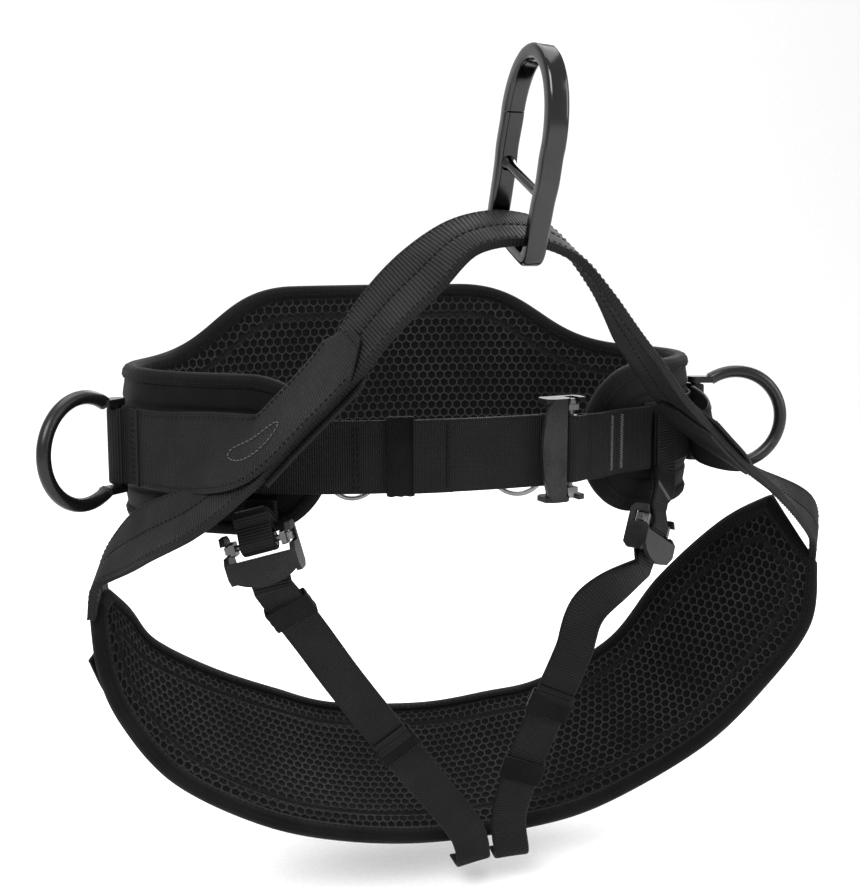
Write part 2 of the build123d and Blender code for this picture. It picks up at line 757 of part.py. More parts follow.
# ---- leg straps -------------------------------------------------------------------------
leg_route = {
    "left": [(-0.500, 0.870, -110), (-0.373, 0.780, -147), (-0.237, 0.690, -184), (-0.127, 0.620, -213),
             (-0.009, 0.550, -244), (0.102, 0.480, -275), (0.144, 0.390, -301),
             (0.150, 0.220, -305)],
    "right": [(0.470, 0.880, -110), (0.424, 0.790, -141), (0.377, 0.710, -169),
              (0.340, 0.630, -196), (0.290, 0.550, -231), (0.258, 0.470, -268),
              (0.292, 0.372, -301), (0.300, 0.220, -303)],
}
leg_flat = {
    "left": [(0.79, -0.10, 0.59)] * 6 + [(0.95, 0.0, 0.2), (0.95, 0.0, 0.0)],
    "right": [(0.77, -0.32, -0.54), (0.80, -0.30, -0.50), (0.84, -0.30, -0.40), (0.88, -0.30, -0.32),
              (0.92, -0.25, -0.25), (0.96, -0.15, -0.15), (0.98, 0.0, 0.0), (1.0, 0.0, 0.0)],
}
leg_keeper_at = 2.5


def leg_points(side):
    """Route and flat directions of a leg strap, from its buckle down to the seat."""
    buckle = leg_buckles[side]
    start = buckle.from_local_coords((-plate_front_end - 3.5, 0, 0))
    flats = [Vector(*f) for f in leg_flat[side]]
    first = buckle.y_dir if buckle.y_dir.dot(flats[0]) > 0 else -buckle.y_dir
    return [start] + [place(p) for p in leg_route[side]], [first] + flats


def leg_strap(side):
    """Leg strap with its turn round the buckle's rod."""
    points, flats = leg_points(side)
    strip = ribbon(points, flats, leg_web - layer_gap, web_thickness, 0, len(points) - 1,
                   2 * len(points) - 2)
    turn = strap_eye(leg_buckles[side], leg_web)
    with BuildPart() as strap:
        add(strip)
        add(turn)
    return strap.part


for side in leg_buckles:
    save(leg_strap(side), f"{side}_leg_strap")
    points, flats = leg_points(side)
    u = leg_keeper_at + 1
    ahead = smooth(points, u + 0.1) - smooth(points, u - 0.1)
    save(keeper(Plane(smooth(points, u), x_dir=smooth(flats, u), z_dir=ahead), leg_web, web_thickness, 15),
         f"{side}_leg_keeper")


# ---- gear rings -------------------------------------------------------------------------
def gear_plane(heading):
    """Plane of a hanging gear ring: x along the belt, y up, origin on its pivot."""
    out = belt_normal(heading)
    return Plane(belt_point(heading, gear_pivot_stand, gear_pivot_height), x_dir=up.cross(out), z_dir=out)


def gear_ring(heading):
    """D-shaped wire ring, straight side up."""
    side, corner, drop = gear_half_width, gear_corner, gear_side
    with BuildPart() as ring:
        with BuildLine(gear_plane(heading)) as wire:
            Line((0, 0), (side - corner, 0))
            CenterArc((side - corner, -corner), corner, 90, -90)
            Line((side, -corner), (side, -corner - drop))
            ThreePointArc((side, -corner - drop), (0, -corner - drop - side), (-side, -corner - drop))
            Line((-side, -corner - drop), (-side, -corner))
            CenterArc((-side + corner, -corner), corner, 180, -90)
            Line((-side + corner, 0), (0, 0))
        with BuildSketch(Plane(wire.line @ 0, z_dir=wire.line % 0)):
            Circle(gear_wire / 2)
        sweep(path=wire.line)
    return ring.part


def gear_tab(heading):
    """Webbing tab folded round a gear ring's wire and sewn to the belt."""
    plane = gear_plane(heading)
    inner = gear_wire / 2 + loop_gap
    lay = gear_pivot_stand - web_stand - web_thickness - layer_gap
    with BuildPart() as tab_fold:
        with BuildSketch(Plane(plane.origin, x_dir=plane.z_dir, z_dir=plane.z_dir.cross(up))):
            Circle(inner + web_thickness)
            with Locations((-lay / 2 + 0.4, 0)):
                Rectangle(lay - 0.8, 2 * web_thickness)
            with Locations((-lay + 1.1, 12)):
                Rectangle(web_thickness, 24 + 2 * web_thickness)
            Circle(inner, mode=Mode.SUBTRACT)
        extrude(amount=gear_tab_web / 2, both=True)
    return tab_fold.part


for name, heading in zip(("left", "middle", "right"), gear_headings):
    save(gear_ring(heading), f"gear_ring_{name}")
    save(gear_tab(heading), f"gear_tab_{name}")
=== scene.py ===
import json
import math
import bpy
import bmesh
import numpy as np
from mathutils import Matrix, Vector, kdtree


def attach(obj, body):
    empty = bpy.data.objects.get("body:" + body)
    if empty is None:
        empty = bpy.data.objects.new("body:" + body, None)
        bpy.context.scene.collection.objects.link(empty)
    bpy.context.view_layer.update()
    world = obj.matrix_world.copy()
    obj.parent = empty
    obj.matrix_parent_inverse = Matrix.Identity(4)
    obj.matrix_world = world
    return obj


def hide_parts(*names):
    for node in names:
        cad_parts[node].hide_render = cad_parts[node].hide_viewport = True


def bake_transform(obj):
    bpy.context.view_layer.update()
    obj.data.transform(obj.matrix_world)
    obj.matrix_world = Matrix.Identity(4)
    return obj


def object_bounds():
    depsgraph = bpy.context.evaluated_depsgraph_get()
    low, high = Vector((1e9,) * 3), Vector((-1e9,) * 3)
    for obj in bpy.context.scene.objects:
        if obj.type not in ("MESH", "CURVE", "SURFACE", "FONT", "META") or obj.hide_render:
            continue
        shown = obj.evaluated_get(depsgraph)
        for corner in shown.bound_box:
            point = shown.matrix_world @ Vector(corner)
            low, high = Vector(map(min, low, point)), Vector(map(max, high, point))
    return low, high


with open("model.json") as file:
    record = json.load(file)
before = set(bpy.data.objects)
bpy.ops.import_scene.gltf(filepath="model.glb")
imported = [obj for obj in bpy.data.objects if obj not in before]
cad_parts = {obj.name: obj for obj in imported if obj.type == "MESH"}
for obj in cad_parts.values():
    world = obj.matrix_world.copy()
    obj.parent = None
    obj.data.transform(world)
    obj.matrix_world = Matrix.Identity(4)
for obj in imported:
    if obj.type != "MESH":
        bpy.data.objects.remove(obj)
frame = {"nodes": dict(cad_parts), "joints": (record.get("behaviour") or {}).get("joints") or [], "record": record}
cad_box = [list(c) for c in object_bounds()]
nodes = frame["nodes"]
record = frame["record"]
joint = {j["name"]: j for j in frame["joints"]}
scene = bpy.context.scene
rng = np.random.default_rng(7)

# ---- camera, first ----------------------------------------------------------------------
AZ, EL = math.radians(-17), math.radians(9)
back = Vector((math.sin(AZ) * math.cos(EL), -math.cos(AZ) * math.cos(EL), math.sin(EL)))
right = Vector((math.cos(AZ), math.sin(AZ), 0))
up_axis = back.cross(right)
eye = back + right * 0.00965 - up_axis * 0.0131
cam_data = bpy.data.cameras.new("camera")
cam_data.sensor_width = 36
cam_data.lens = 58.5
cam = bpy.data.objects.new("camera", cam_data)
scene.collection.objects.link(cam)
cam.matrix_world = Matrix((
    (right.x, up_axis.x, back.x, eye.x), (right.y, up_axis.y, back.y, eye.y),
    (right.z, up_axis.z, back.z, eye.z), (0, 0, 0, 1)))
scene.camera = cam

# ---- sizes and routes, as in the design -------------------------------------------------
W, D = 0.198, 0.113
BELT_TOP, BELT_LOW, HUMP, HOLLOW = 0.048, -0.050, 0.092, -0.062
FLAT, FOOT, TIP = 0.066, 0.188, 0.086
PAD = 0.0115
DROP = 0.290
BRIDGE = [
    (-1.106, 0.106, -106), (-1.101, 0.150, -86), (-1.051, 0.265, -68), (-0.970, 0.610, -48),
    (-0.850, 0.890, -29), (-0.722, 1.110, -3), (-0.601, 1.260, 26), (-0.470, 1.375, 56),
    (-0.364, 1.460, 87), (-0.248, 1.525, 112), (-0.121, 1.542, 132), (0.035, 1.558, 137),
    (0.187, 1.508, 128), (0.323, 1.469, 101), (0.475, 1.345, 65), (0.657, 1.150, 29),
    (0.909, 0.858, -7), (1.192, 0.584, -41), (1.455, 0.336, -73), (1.520, 0.220, -98)]
BRIDGE_FLAT = [
    (-0.30, -0.95, -0.05), (-0.20, -0.97, -0.10), (-0.10, -0.95, -0.30), (0.02, -0.90, -0.42),
    (0.02, -0.90, -0.42), (0.05, -0.93, -0.36), (0.12, -0.96, -0.25), (0.18, -0.96, -0.20),
    (0.22, -0.88, -0.38), (0.22, -0.83, -0.46), (0.03, -0.93, -0.37), (0.03, -0.93, -0.37),
    (0.03, -0.93, -0.37), (-0.21, -0.96, -0.03), (-0.20, -0.92, 0.21), (-0.28, -0.89, 0.24),
    (-0.40, -0.87, 0.20), (-0.48, -0.84, 0.10), (-0.45, -0.75, -0.40), (-0.45, -0.65, -0.60)]
SEAT_REAR = [
    (-1.081, 0.044, -0.338), (-1.010, -0.106, -0.400), (-0.919, -0.265, -0.500),
    (-0.697, -0.487, -0.614), (-0.455, -0.619, -0.700), (-0.222, -0.708, -0.766),
    (0.141, -0.752, -0.797), (0.404, -0.743, -0.783), (0.636, -0.708, -0.755),
    (0.904, -0.575, -0.640), (1.066, -0.398, -0.455), (1.245, -0.133, -0.290),
    (1.345, 0.177, -0.205)]
SEAT_FRONT = [
    (-1.121, 0.195, -0.355), (-1.106, 0.310, -0.500), (-1.035, 0.372, -0.620),
    (-0.880, 0.407, -0.755), (-0.600, 0.398, -0.875), (-0.320, 0.354, -0.945),
    (0.000, 0.310, -0.985), (0.354, 0.265, -0.990), (0.662, 0.265, -0.955),
    (1.035, 0.354, -0.821), (1.263, 0.425, -0.672), (1.439, 0.442, -0.517),
    (1.485, 0.354, -0.372)]
LEG = {
    "left": [(-0.500, 0.870, -110), (-0.373, 0.780, -147), (-0.237, 0.690, -184), (-0.127, 0.620, -213),
             (-0.009, 0.550, -244), (0.102, 0.480, -275), (0.144, 0.390, -301),
             (0.150, 0.220, -305)],
    "right": [(0.452, 0.880, -108), (0.416, 0.790, -141), (0.377, 0.710, -169),
              (0.340, 0.630, -196), (0.290, 0.550, -231), (0.258, 0.470, -268),
              (0.292, 0.372, -301), (0.300, 0.220, -303)]}
LEG_FLAT = {
    "left": [(0.79, -0.10, 0.59)] * 6 + [(0.95, 0.0, 0.2), (0.95, 0.0, 0.0)],
    "right": [(0.77, -0.32, -0.54), (0.80, -0.30, -0.50), (0.84, -0.30, -0.40), (0.88, -0.30, -0.32),
              (0.92, -0.25, -0.25), (0.96, -0.15, -0.15), (0.98, 0.0, 0.0), (1.0, 0.0, 0.0)]}
UP = np.array([0.0, 0.0, 1.0])


def place(p):
    return np.array([p[0] * W, -p[1] * D, p[2] / 1000])


def seat_place(p):
    return np.array([p[0] * W, -p[1] * D, p[2] * DROP])


def unit(v):
    v = np.asarray(v, float)
    return v / np.maximum(np.linalg.norm(v, axis=-1, keepdims=True), 1e-12)


def smooth(points, u):
    """Catmull-Rom curve, u counted in points; u may be an array."""
    pts = np.asarray(points, float)
    u = np.atleast_1d(np.asarray(u, float))
    last = len(pts) - 1
    i = np.clip(u.astype(int), 0, last - 1)
    t = (u - i)[:, None]
    a, b, c, d = (pts[np.clip(k, 0, last)] for k in (i - 1, i, i + 1, i + 2))
    return (b * 2 + (c - a) * t + (a * 2 - b * 5 + c * 4 - d) * t**2 + (b * 3 - a - c * 3 + d) * t**3) * 0.5


def ease(x, lo, hi):
    t = np.clip((x - lo) / (hi - lo), 0, 1)
    return t * t * (3 - 2 * t)


def belt_point(heading, stand, z=0.0):
    h = math.radians(heading)
    return np.array([(W + stand) * math.sin(h), -(D + stand) * math.cos(h), z])


def belt_out(heading):
    h = math.radians(heading)
    return unit([math.sin(h) / W, -math.cos(h) / D, 0])


def wobble(p, scale, seed):
    """Smooth made-up unevenness in -1..1 for an array of points."""
    r = np.random.default_rng(seed)
    out = np.zeros(p.shape[:-1])
    for k in range(5):
        w = unit(r.normal(size=3)) * 2 * math.pi / scale * (0.7 + 0.5 * k)
        out += np.sin(p @ w + r.uniform(0, 6.28)) / (1 + k)
    return out / 2.3


# ---- materials --------------------------------------------------------------------------
class Nodes:
    """A few words for building shader nodes."""

    def __init__(self, name):
        self.mat = bpy.data.materials.new(name)
        self.mat.use_nodes = True
        self.tree = self.mat.node_tree
        self.bsdf = self.tree.nodes["Principled BSDF"]

    def new(self, kind, **values):
        n = self.tree.nodes.new(kind)
        for k, v in values.items():
            setattr(n, k, v)
        return n

    def put(self, socket, value):
        if isinstance(value, bpy.types.NodeSocket):
            self.tree.links.new(value, socket)
        else:
            socket.default_value = value

    def math(self, op, a, b=0.0, c=0.0):
        n = self.new("ShaderNodeMath", operation=op)
        for s, v in zip(n.inputs, (a, b, c)):
            self.put(s, v)
        return n.outputs[0]

    def vmath(self, op, a, b=(0, 0, 0), c=(0, 0, 0)):
        n = self.new("ShaderNodeVectorMath", operation=op)
        for s, v in zip(n.inputs, (a, b, c)):
            self.put(s, v)
        return n.outputs["Value"] if op in ("LENGTH", "DOT_PRODUCT") else n.outputs["Vector"]

    def attribute(self, name):
        return self.new("ShaderNodeAttribute", attribute_name=name).outputs["Vector"]

    def split(self, v):
        n = self.new("ShaderNodeSeparateXYZ")
        self.put(n.inputs[0], v)
        return n.outputs

    def noise(self, scale, detail=3.0, rough=0.5, vector=None):
        n = self.new("ShaderNodeTexNoise")
        n.inputs["Scale"].default_value = scale
        n.inputs["Detail"].default_value = detail
        n.inputs["Roughness"].default_value = rough
        if vector is None:
            vector = self.new("ShaderNodeTexCoord").outputs["Object"]
        self.put(n.inputs["Vector"], vector)
        return n.outputs["Fac"]

    def span(self, value, low, high, to_low=0.0, to_high=1.0, soft=True):
        n = self.new("ShaderNodeMapRange", interpolation_type="SMOOTHSTEP" if soft else "LINEAR")
        for k, v in zip((0, 1, 2, 3, 4), (value, low, high, to_low, to_high)):
            self.put(n.inputs[k], v)
        return n.outputs[0]

    def mix(self, fac, a, b):
        n = self.new("ShaderNodeMix", data_type="RGBA")
        self.put(n.inputs[0], fac)
        self.put(n.inputs[6], tuple(a) + (1,) if isinstance(a, tuple) else a)
        self.put(n.inputs[7], tuple(b) + (1,) if isinstance(b, tuple) else b)
        return n.outputs[2]

    def bump(self, height, distance, strength=1.0, under=None):
        n = self.new("ShaderNodeBump")
        n.inputs["Distance"].default_value = distance
        n.inputs["Strength"].default_value = strength
        self.put(n.inputs["Height"], height)
        if under is not None:
            self.put(n.inputs["Normal"], under)
        return n.outputs[0]

    def finish(self, color, rough, normal, metallic=0.0, sheen=0.0, specular=0.4):
        b = self.bsdf
        self.put(b.inputs["Base Color"], color)
        self.put(b.inputs["Roughness"], rough)
        if normal is not None:
            self.put(b.inputs["Normal"], normal)
        b.inputs["Metallic"].default_value = metallic
        b.inputs["Specular IOR Level"].default_value = specular
        b.inputs["Sheen Weight"].default_value = sheen
        b.inputs["Sheen Roughness"].default_value = 0.45
        return self.mat


def webbing_material(name, dark, light, pitch, half_width):
    """Ribbed webbing. The attribute web is (across, along, through), in metres."""
    m = Nodes(name)
    x, y, _ = m.split(m.attribute("web"))
    rib = m.math("SINE", m.math("MULTIPLY", y, 2 * math.pi / pitch))
    yarn = m.math("SINE", m.math("MULTIPLY", x, 2 * math.pi / 0.0011))
    twill = m.math("SINE", m.math("ADD", m.math("MULTIPLY", x, 2 * math.pi / 0.0016),
                                  m.math("MULTIPLY", y, 2 * math.pi / (pitch * 1.0))))
    patch = m.noise(38, 4)
    fuzz = m.noise(2600, 2)
    edge = m.span(m.math("ABSOLUTE", x), half_width - 0.0026, half_width - 0.0014)
    height = m.math("ADD", m.math("MULTIPLY", rib, 0.45),
                    m.math("ADD", m.math("MULTIPLY", yarn, 0.22), m.math("MULTIPLY", twill, 0.28)))
    tone = m.span(m.math("ADD", m.math("ADD", m.math("MULTIPLY", rib, 0.30), m.math("MULTIPLY", twill, 0.14)),
                         m.math("ADD", m.math("MULTIPLY", patch, 0.9), m.math("MULTIPLY", fuzz, 0.35))),
                  0.05, 1.15)
    color = m.mix(m.math("MULTIPLY", edge, 0.45), m.mix(tone, dark, light), dark)
    rough = m.span(m.math("ADD", patch, m.math("MULTIPLY", rib, 0.15)), 0.2, 0.9, 0.62, 0.5)
    return m.finish(color, rough, m.bump(height, 0.00028, 0.8, m.bump(fuzz, 0.00012, 0.5)), sheen=0.01,
                    specular=0.11)


def cloth_material(name, dark, light, size=0.0011, sheen=0.3):
    """Plain woven cover cloth or tape."""
    m = Nodes(name)
    x, y, _ = m.split(m.attribute("web"))
    warp = m.math("SINE", m.math("MULTIPLY", x, 2 * math.pi / size))
    weft = m.math("SINE", m.math("MULTIPLY", y, 2 * math.pi / size))
    weave = m.math("MULTIPLY", warp, weft)
    patch = m.noise(30, 5)
    fuzz = m.noise(1900, 2)
    tone = m.span(m.math("ADD", m.math("MULTIPLY", weave, 0.22),
                         m.math("ADD", patch, m.math("MULTIPLY", fuzz, 0.3))), 0.2, 1.1)
    # painted edge highlight: colour lifted toward a pale grey on convex edges (pointiness), where light catches the
    # cloth
    painted_edge_highlight = m.span(m.new("ShaderNodeNewGeometry").outputs["Pointiness"], 0.52, 0.60)
    color = m.mix(m.math("MULTIPLY", painted_edge_highlight, 0.35), m.mix(tone, dark, light),
                  tuple(min(1, c * 2.0) for c in light))
    return m.finish(color, m.span(patch, 0.3, 0.7, 0.74, 0.6), m.bump(weave, 0.00022, 0.7, m.bump(fuzz, 0.0001, 0.4)),
                    sheen=sheen, specular=0.07)


HEX = 0.0066


def mesh_material(name, dark, light):
    """Honeycomb spacer mesh: pale knitted ridges round dark open cells."""
    m = Nodes(name)
    v = m.vmath("ADD", m.vmath("SCALE", m.attribute("web")), (1000.0, 1000.0, 0))
    v.node.inputs[0].links[0].from_node.inputs["Scale"].default_value = 1 / HEX
    v = m.vmath("MULTIPLY", v, (1, 1, 0))
    s = (1.0, 1.7320508, 1.0)
    half = (0.5, 0.8660254, 0.0)
    r1 = m.vmath("SUBTRACT", m.vmath("MODULO", v, s), half)
    r2 = m.vmath("SUBTRACT", m.vmath("MODULO", m.vmath("ADD", v, half), s), half)
    near = m.math("LESS_THAN", m.vmath("LENGTH", r1), m.vmath("LENGTH", r2))
    pick = m.new("ShaderNodeMix", data_type="VECTOR")
    m.put(pick.inputs[0], near)
    m.put(pick.inputs[4], r2)
    m.put(pick.inputs[5], r1)
    r = m.vmath("ABSOLUTE", pick.outputs[1])
    border = m.math("SUBTRACT", 0.5, m.math("MAXIMUM", m.vmath("DOT_PRODUCT", r, (0.5, 0.8660254, 0)),
                                            m.split(r)[0]))
    wall = m.span(border, 0.045, 0.115, 1.0, 0.0)
    web = m.split(m.attribute("web"))
    open_here = web[2]
    knit = m.noise(900, 3)
    patch = m.noise(22, 4)
    fibre = m.math("SINE", m.math("MULTIPLY", m.math("ADD", web[0], web[1]), 2 * math.pi / 0.0009))
    lit = m.math("MULTIPLY", wall, m.span(m.math("ADD", knit, patch), 0.65, 1.25, 0.35, 1.0))
    in_cells = m.mix(lit, m.mix(knit, dark, tuple(c * 1.8 for c in dark)), light)
    plain = m.mix(m.span(m.math("ADD", knit, m.math("MULTIPLY", fibre, 0.15)), 0.3, 0.75),
                  tuple(c * 1.3 for c in dark), tuple(c * 0.42 for c in light))
    color = m.mix(open_here, plain, in_cells)
    height = m.math("ADD", m.math("MULTIPLY", m.math("MULTIPLY", wall, open_here), 1.0),
                    m.math("MULTIPLY", knit, 0.35))
    return m.finish(color, m.span(knit, 0.3, 0.7, 0.85, 0.66), m.bump(height, 0.0004, 0.7), sheen=0.01,
                    specular=0.07)


def metal_material(name, dark, light, rough_low, rough_high, metallic=1.0, grain=0.00006, edge_highlight_amount=0.4,
                   pale=(0.3, 0.3, 0.3), specular=0.5):
    m = Nodes(name)
    patch = m.noise(24, 5)
    fine = m.noise(1400, 4, 0.6)
    scratch_map = m.new("ShaderNodeMapping")
    scratch_map.inputs["Scale"].default_value = (1.0, 1.0, 14.0)
    m.put(scratch_map.inputs[0], m.new("ShaderNodeTexCoord").outputs["Object"])
    scratch = m.noise(160, 6, 0.7, scratch_map.outputs[0])
    # painted edge highlight: patchy pale colour on convex edges and bevels (pointiness), standing in for light
    # glinting off them
    painted_edge_highlight = m.math("MULTIPLY", m.span(m.new("ShaderNodeNewGeometry").outputs["Pointiness"], 0.53, 0.62),
                  m.span(m.math("ADD", patch, fine), 0.85, 1.2))
    color = m.mix(m.math("MULTIPLY", painted_edge_highlight, edge_highlight_amount), m.mix(patch, dark, light), pale)
    rough = m.span(m.math("ADD", m.math("MULTIPLY", scratch, 0.6), m.math("MULTIPLY", patch, 0.4)), 0.3, 0.7,
                   rough_low, rough_high)
    height = m.math("ADD", m.math("MULTIPLY", scratch, 0.5), m.math("MULTIPLY", fine, 0.5))
    return m.finish(color, rough, m.bump(height, grain, 0.6), metallic=metallic, specular=specular)


MAT = {
    "bridge": webbing_material("bridge_web", (0.0016, 0.0016, 0.0017), (0.0150, 0.0150, 0.0157), 0.0021, 0.022),
    "belt": webbing_material("belt_web", (0.0010, 0.0010, 0.0011), (0.0052, 0.0052, 0.0055), 0.0014, 0.0225),
    "leg": webbing_material("leg_web", (0.0009, 0.0009, 0.0010), (0.0058, 0.0058, 0.0061), 0.0019, 0.0125),
    "side": webbing_material("side_web", (0.0014, 0.0014, 0.0015), (0.0090, 0.0090, 0.0094), 0.0016, 0.025),
    "elastic": cloth_material("elastic_band", (0.0008, 0.0008, 0.0009), (0.0028, 0.0028, 0.0030), 0.0016, 0.02),
    "binding": cloth_material("binding_tape_cloth", (0.0009, 0.0009, 0.0010), (0.0036, 0.0036, 0.0038), 0.0009,
                              0.03),
    "cover": cloth_material("cover_cloth", (0.0011, 0.0011, 0.0012), (0.0046, 0.0046, 0.0049), 0.0013, 0.03),
    "liner": mesh_material("spacer_mesh_cloth", (0.0008, 0.0008, 0.0009), (0.0220, 0.0220, 0.0231)),
    "black_metal": metal_material("black_buckle", (0.0030, 0.0030, 0.0032), (0.0060, 0.0060, 0.0063), 0.30, 0.46,
                                  metallic=0.0, pale=(0.04, 0.04, 0.042), specular=0.13),
    "ring_black": metal_material("black_ring", (0.0030, 0.0030, 0.0032), (0.0060, 0.0060, 0.0063), 0.22, 0.36,
                                 metallic=0.0, pale=(0.05, 0.05, 0.05), specular=0.3),
    "silver": metal_material("silver_latch", (0.055, 0.055, 0.056), (0.130, 0.130, 0.132), 0.2, 0.38),
    "wire": metal_material("gear_wire_steel", (0.20, 0.20, 0.205), (0.34, 0.34, 0.345), 0.26, 0.42),
    "spring": metal_material("spring_steel_wire", (0.35, 0.35, 0.36), (0.5, 0.5, 0.51), 0.25, 0.4),
    "ring": metal_material("polished_ring", (0.024, 0.024, 0.0245), (0.052, 0.052, 0.053), 0.08, 0.20, edge_highlight_amount=0.3,
                           pale=(0.3, 0.3, 0.3)),
}


def thread_material(name, dark, light):
    m = Nodes(name)
    twist = m.noise(5200, 2)
    return m.finish(m.mix(m.span(twist, 0.3, 0.7), dark, light), m.span(twist, 0.3, 0.7, 0.6, 0.8),
                    m.bump(twist, 0.00012, 0.8), sheen=0.02, specular=0.1)


MAT["thread_black"] = thread_material("black_thread", (0.0010, 0.0010, 0.0011), (0.0080, 0.0080, 0.0084))
MAT["thread_grey"] = thread_material("grey_thread", (0.045, 0.045, 0.047), (0.110, 0.110, 0.114))

# ---- mesh building ----------------------------------------------------------------------


def mesh_object(name, verts, faces, mat, body, web=None, smooth_faces=True, mats=None, face_mats=None):
    me = bpy.data.meshes.new(name)
    me.from_pydata(np.asarray(verts, float).tolist(), [], [list(map(int, f)) for f in faces])
    ob = bpy.data.objects.new(name, me)
    scene.collection.objects.link(ob)
    for m in (mats or [mat]):
        me.materials.append(m)
    if face_mats is not None:
        me.polygons.foreach_set("material_index", np.asarray(face_mats, np.int32))
    if web is not None:
        a = me.attributes.new("web", "FLOAT_VECTOR", "POINT")
        a.data.foreach_set("vector", np.asarray(web, np.float32).ravel())
    me.polygons.foreach_set("use_smooth", np.full(len(me.polygons), smooth_faces))
    me.update()
    if body:
        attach(ob, body)
    return ob


def grid_faces(n, m, closed=False, flip=False):
    """Quads of an n by m grid of vertices; closed joins the last column to the first."""
    i, j = np.meshgrid(np.arange(n - 1), np.arange(m if closed else m - 1), indexing="ij")
    k = (j + 1) % m
    q = np.stack([i * m + j, i * m + k, (i + 1) * m + k, (i + 1) * m + j], -1).reshape(-1, 4)
    return q[:, ::-1] if flip else q


class Path:
    """A strip's centre line with its width direction and face normal."""

    def __init__(self, centres, sides, step=0.0005):
        c = np.asarray(centres, float)
        s = np.concatenate([[0], np.cumsum(np.linalg.norm(np.diff(c, axis=0), axis=1))])
        keep = np.concatenate([[True], np.diff(s) > 1e-7])
        c, s, w = c[keep], s[keep], np.asarray(sides, float)[keep]
        self.length = s[-1]
        self.s = np.linspace(0, s[-1], max(int(s[-1] / step), 8) + 1)
        self.c = np.stack([np.interp(self.s, s, c[:, k]) for k in range(3)], 1)
        w = np.stack([np.interp(self.s, s, w[:, k]) for k in range(3)], 1)
        t = unit(np.gradient(self.c, axis=0))
        self.t = t
        self.w = unit(w - t * np.sum(t * w, 1, keepdims=True))
        self.n = np.cross(t, self.w)

    def at(self, s, across=0.0, lift=0.0):
        s = np.atleast_1d(s)
        pick = lambda a: np.stack([np.interp(s, self.s, a[:, k]) for k in range(3)], 1)
        n = unit(pick(self.n))
        return pick(self.c) + pick(self.w) * np.reshape(across, (-1, 1)) + n * np.reshape(lift, (-1, 1)), n


def route(points, flats, first, last, count=240, lift=0.0):
    """Path along a smooth route, as the design's ribbons run."""
    u = np.linspace(first, last, count)
    c, w = smooth(points, u), unit(smooth(flats, u))
    ahead = unit(smooth(points, np.minimum(u + 0.05, len(points) - 1)) - smooth(points, np.maximum(u - 0.05, 0)))
    w = unit(w - ahead * np.sum(ahead * w, 1, keepdims=True))
    return Path(c + np.cross(ahead, w) * lift, w)


def strip(name, path, width, thick, mat, body, pitch=0.0019, rib=0.00016, groove=0.0, taper=None,
          split=0.0, sag=None, replaces=()):
    """Webbing along a path: rounded edges, real cross ribs, optional stitched centre groove."""
    half, t = width / 2, thick / 2
    edge = min(t, 0.0011)
    xs = np.concatenate([[-half + edge], np.linspace(-half + 2 * edge, half - 2 * edge, 13), [half - edge]])
    arc = np.linspace(-90, 90, 5)[1:-1]
    top = [(x, t) for x in xs]
    r_edge = [(half - edge + edge * math.cos(math.radians(a)), t * math.sin(math.radians(a))) for a in arc[::-1]]
    bottom = [(x, -t) for x in xs[::-1]]
    l_edge = [(-half + edge - edge * math.cos(math.radians(a)), t * math.sin(math.radians(a))) for a in arc]
    prof = np.array(top + r_edge + bottom + l_edge)
    if split > 0:
        mid = np.abs(prof[:, 1]) < t * 0.3
        prof[mid, 0] -= np.sign(prof[mid, 0]) * split
    step = pitch / 4
    n = int(path.length / step) + 1
    s = np.linspace(0, path.length, n)
    pick = lambda a: np.stack([np.interp(s, path.s, a[:, k]) for k in range(3)], 1)
    c, w, nn = pick(path.c), unit(pick(path.w)), unit(pick(path.n))
    x = np.tile(prof[:, 0], (n, 1))
    y = np.tile(prof[:, 1], (n, 1))
    if taper is not None:
        x = x * taper(s)[:, None]
    face = np.clip((half - np.abs(prof[:, 0]) - edge * 0.5) / 0.0015, 0, 1) * np.sign(prof[:, 1])
    y = y + rib * np.sin(2 * np.pi * s / pitch)[:, None] * face[None, :]
    if groove > 0:
        y = y - groove * np.exp(-(prof[:, 0] / 0.0011) ** 2)[None, :] * np.sign(prof[:, 1])[None, :]
    fade = np.clip(np.minimum(s, path.length - s) / 0.003, 0, 1)[:, None]
    y = y + fade * 0.00022 * wobble(c, 0.045, len(name))[:, None]
    if sag is not None:
        y = y + sag(x, s[:, None])
    v = c[:, None, :] + w[:, None, :] * x[..., None] + nn[:, None, :] * y[..., None]
    m = len(prof)
    faces = list(grid_faces(n, m, closed=True, flip=True))
    faces += [list(range(m)), list(range((n - 1) * m, n * m))[::-1]]
    web = np.stack([x, np.tile(s[:, None], (1, m)), y], -1)
    ob = mesh_object(name, v.reshape(-1, 3), faces, mat, body, web.reshape(-1, 3))
    bm = bmesh.new()
    bm.from_mesh(ob.data)
    bmesh.ops.recalc_face_normals(bm, faces=bm.faces)
    bm.to_mesh(ob.data)
    bm.free()
    if replaces:
        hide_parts(*replaces)
    return ob


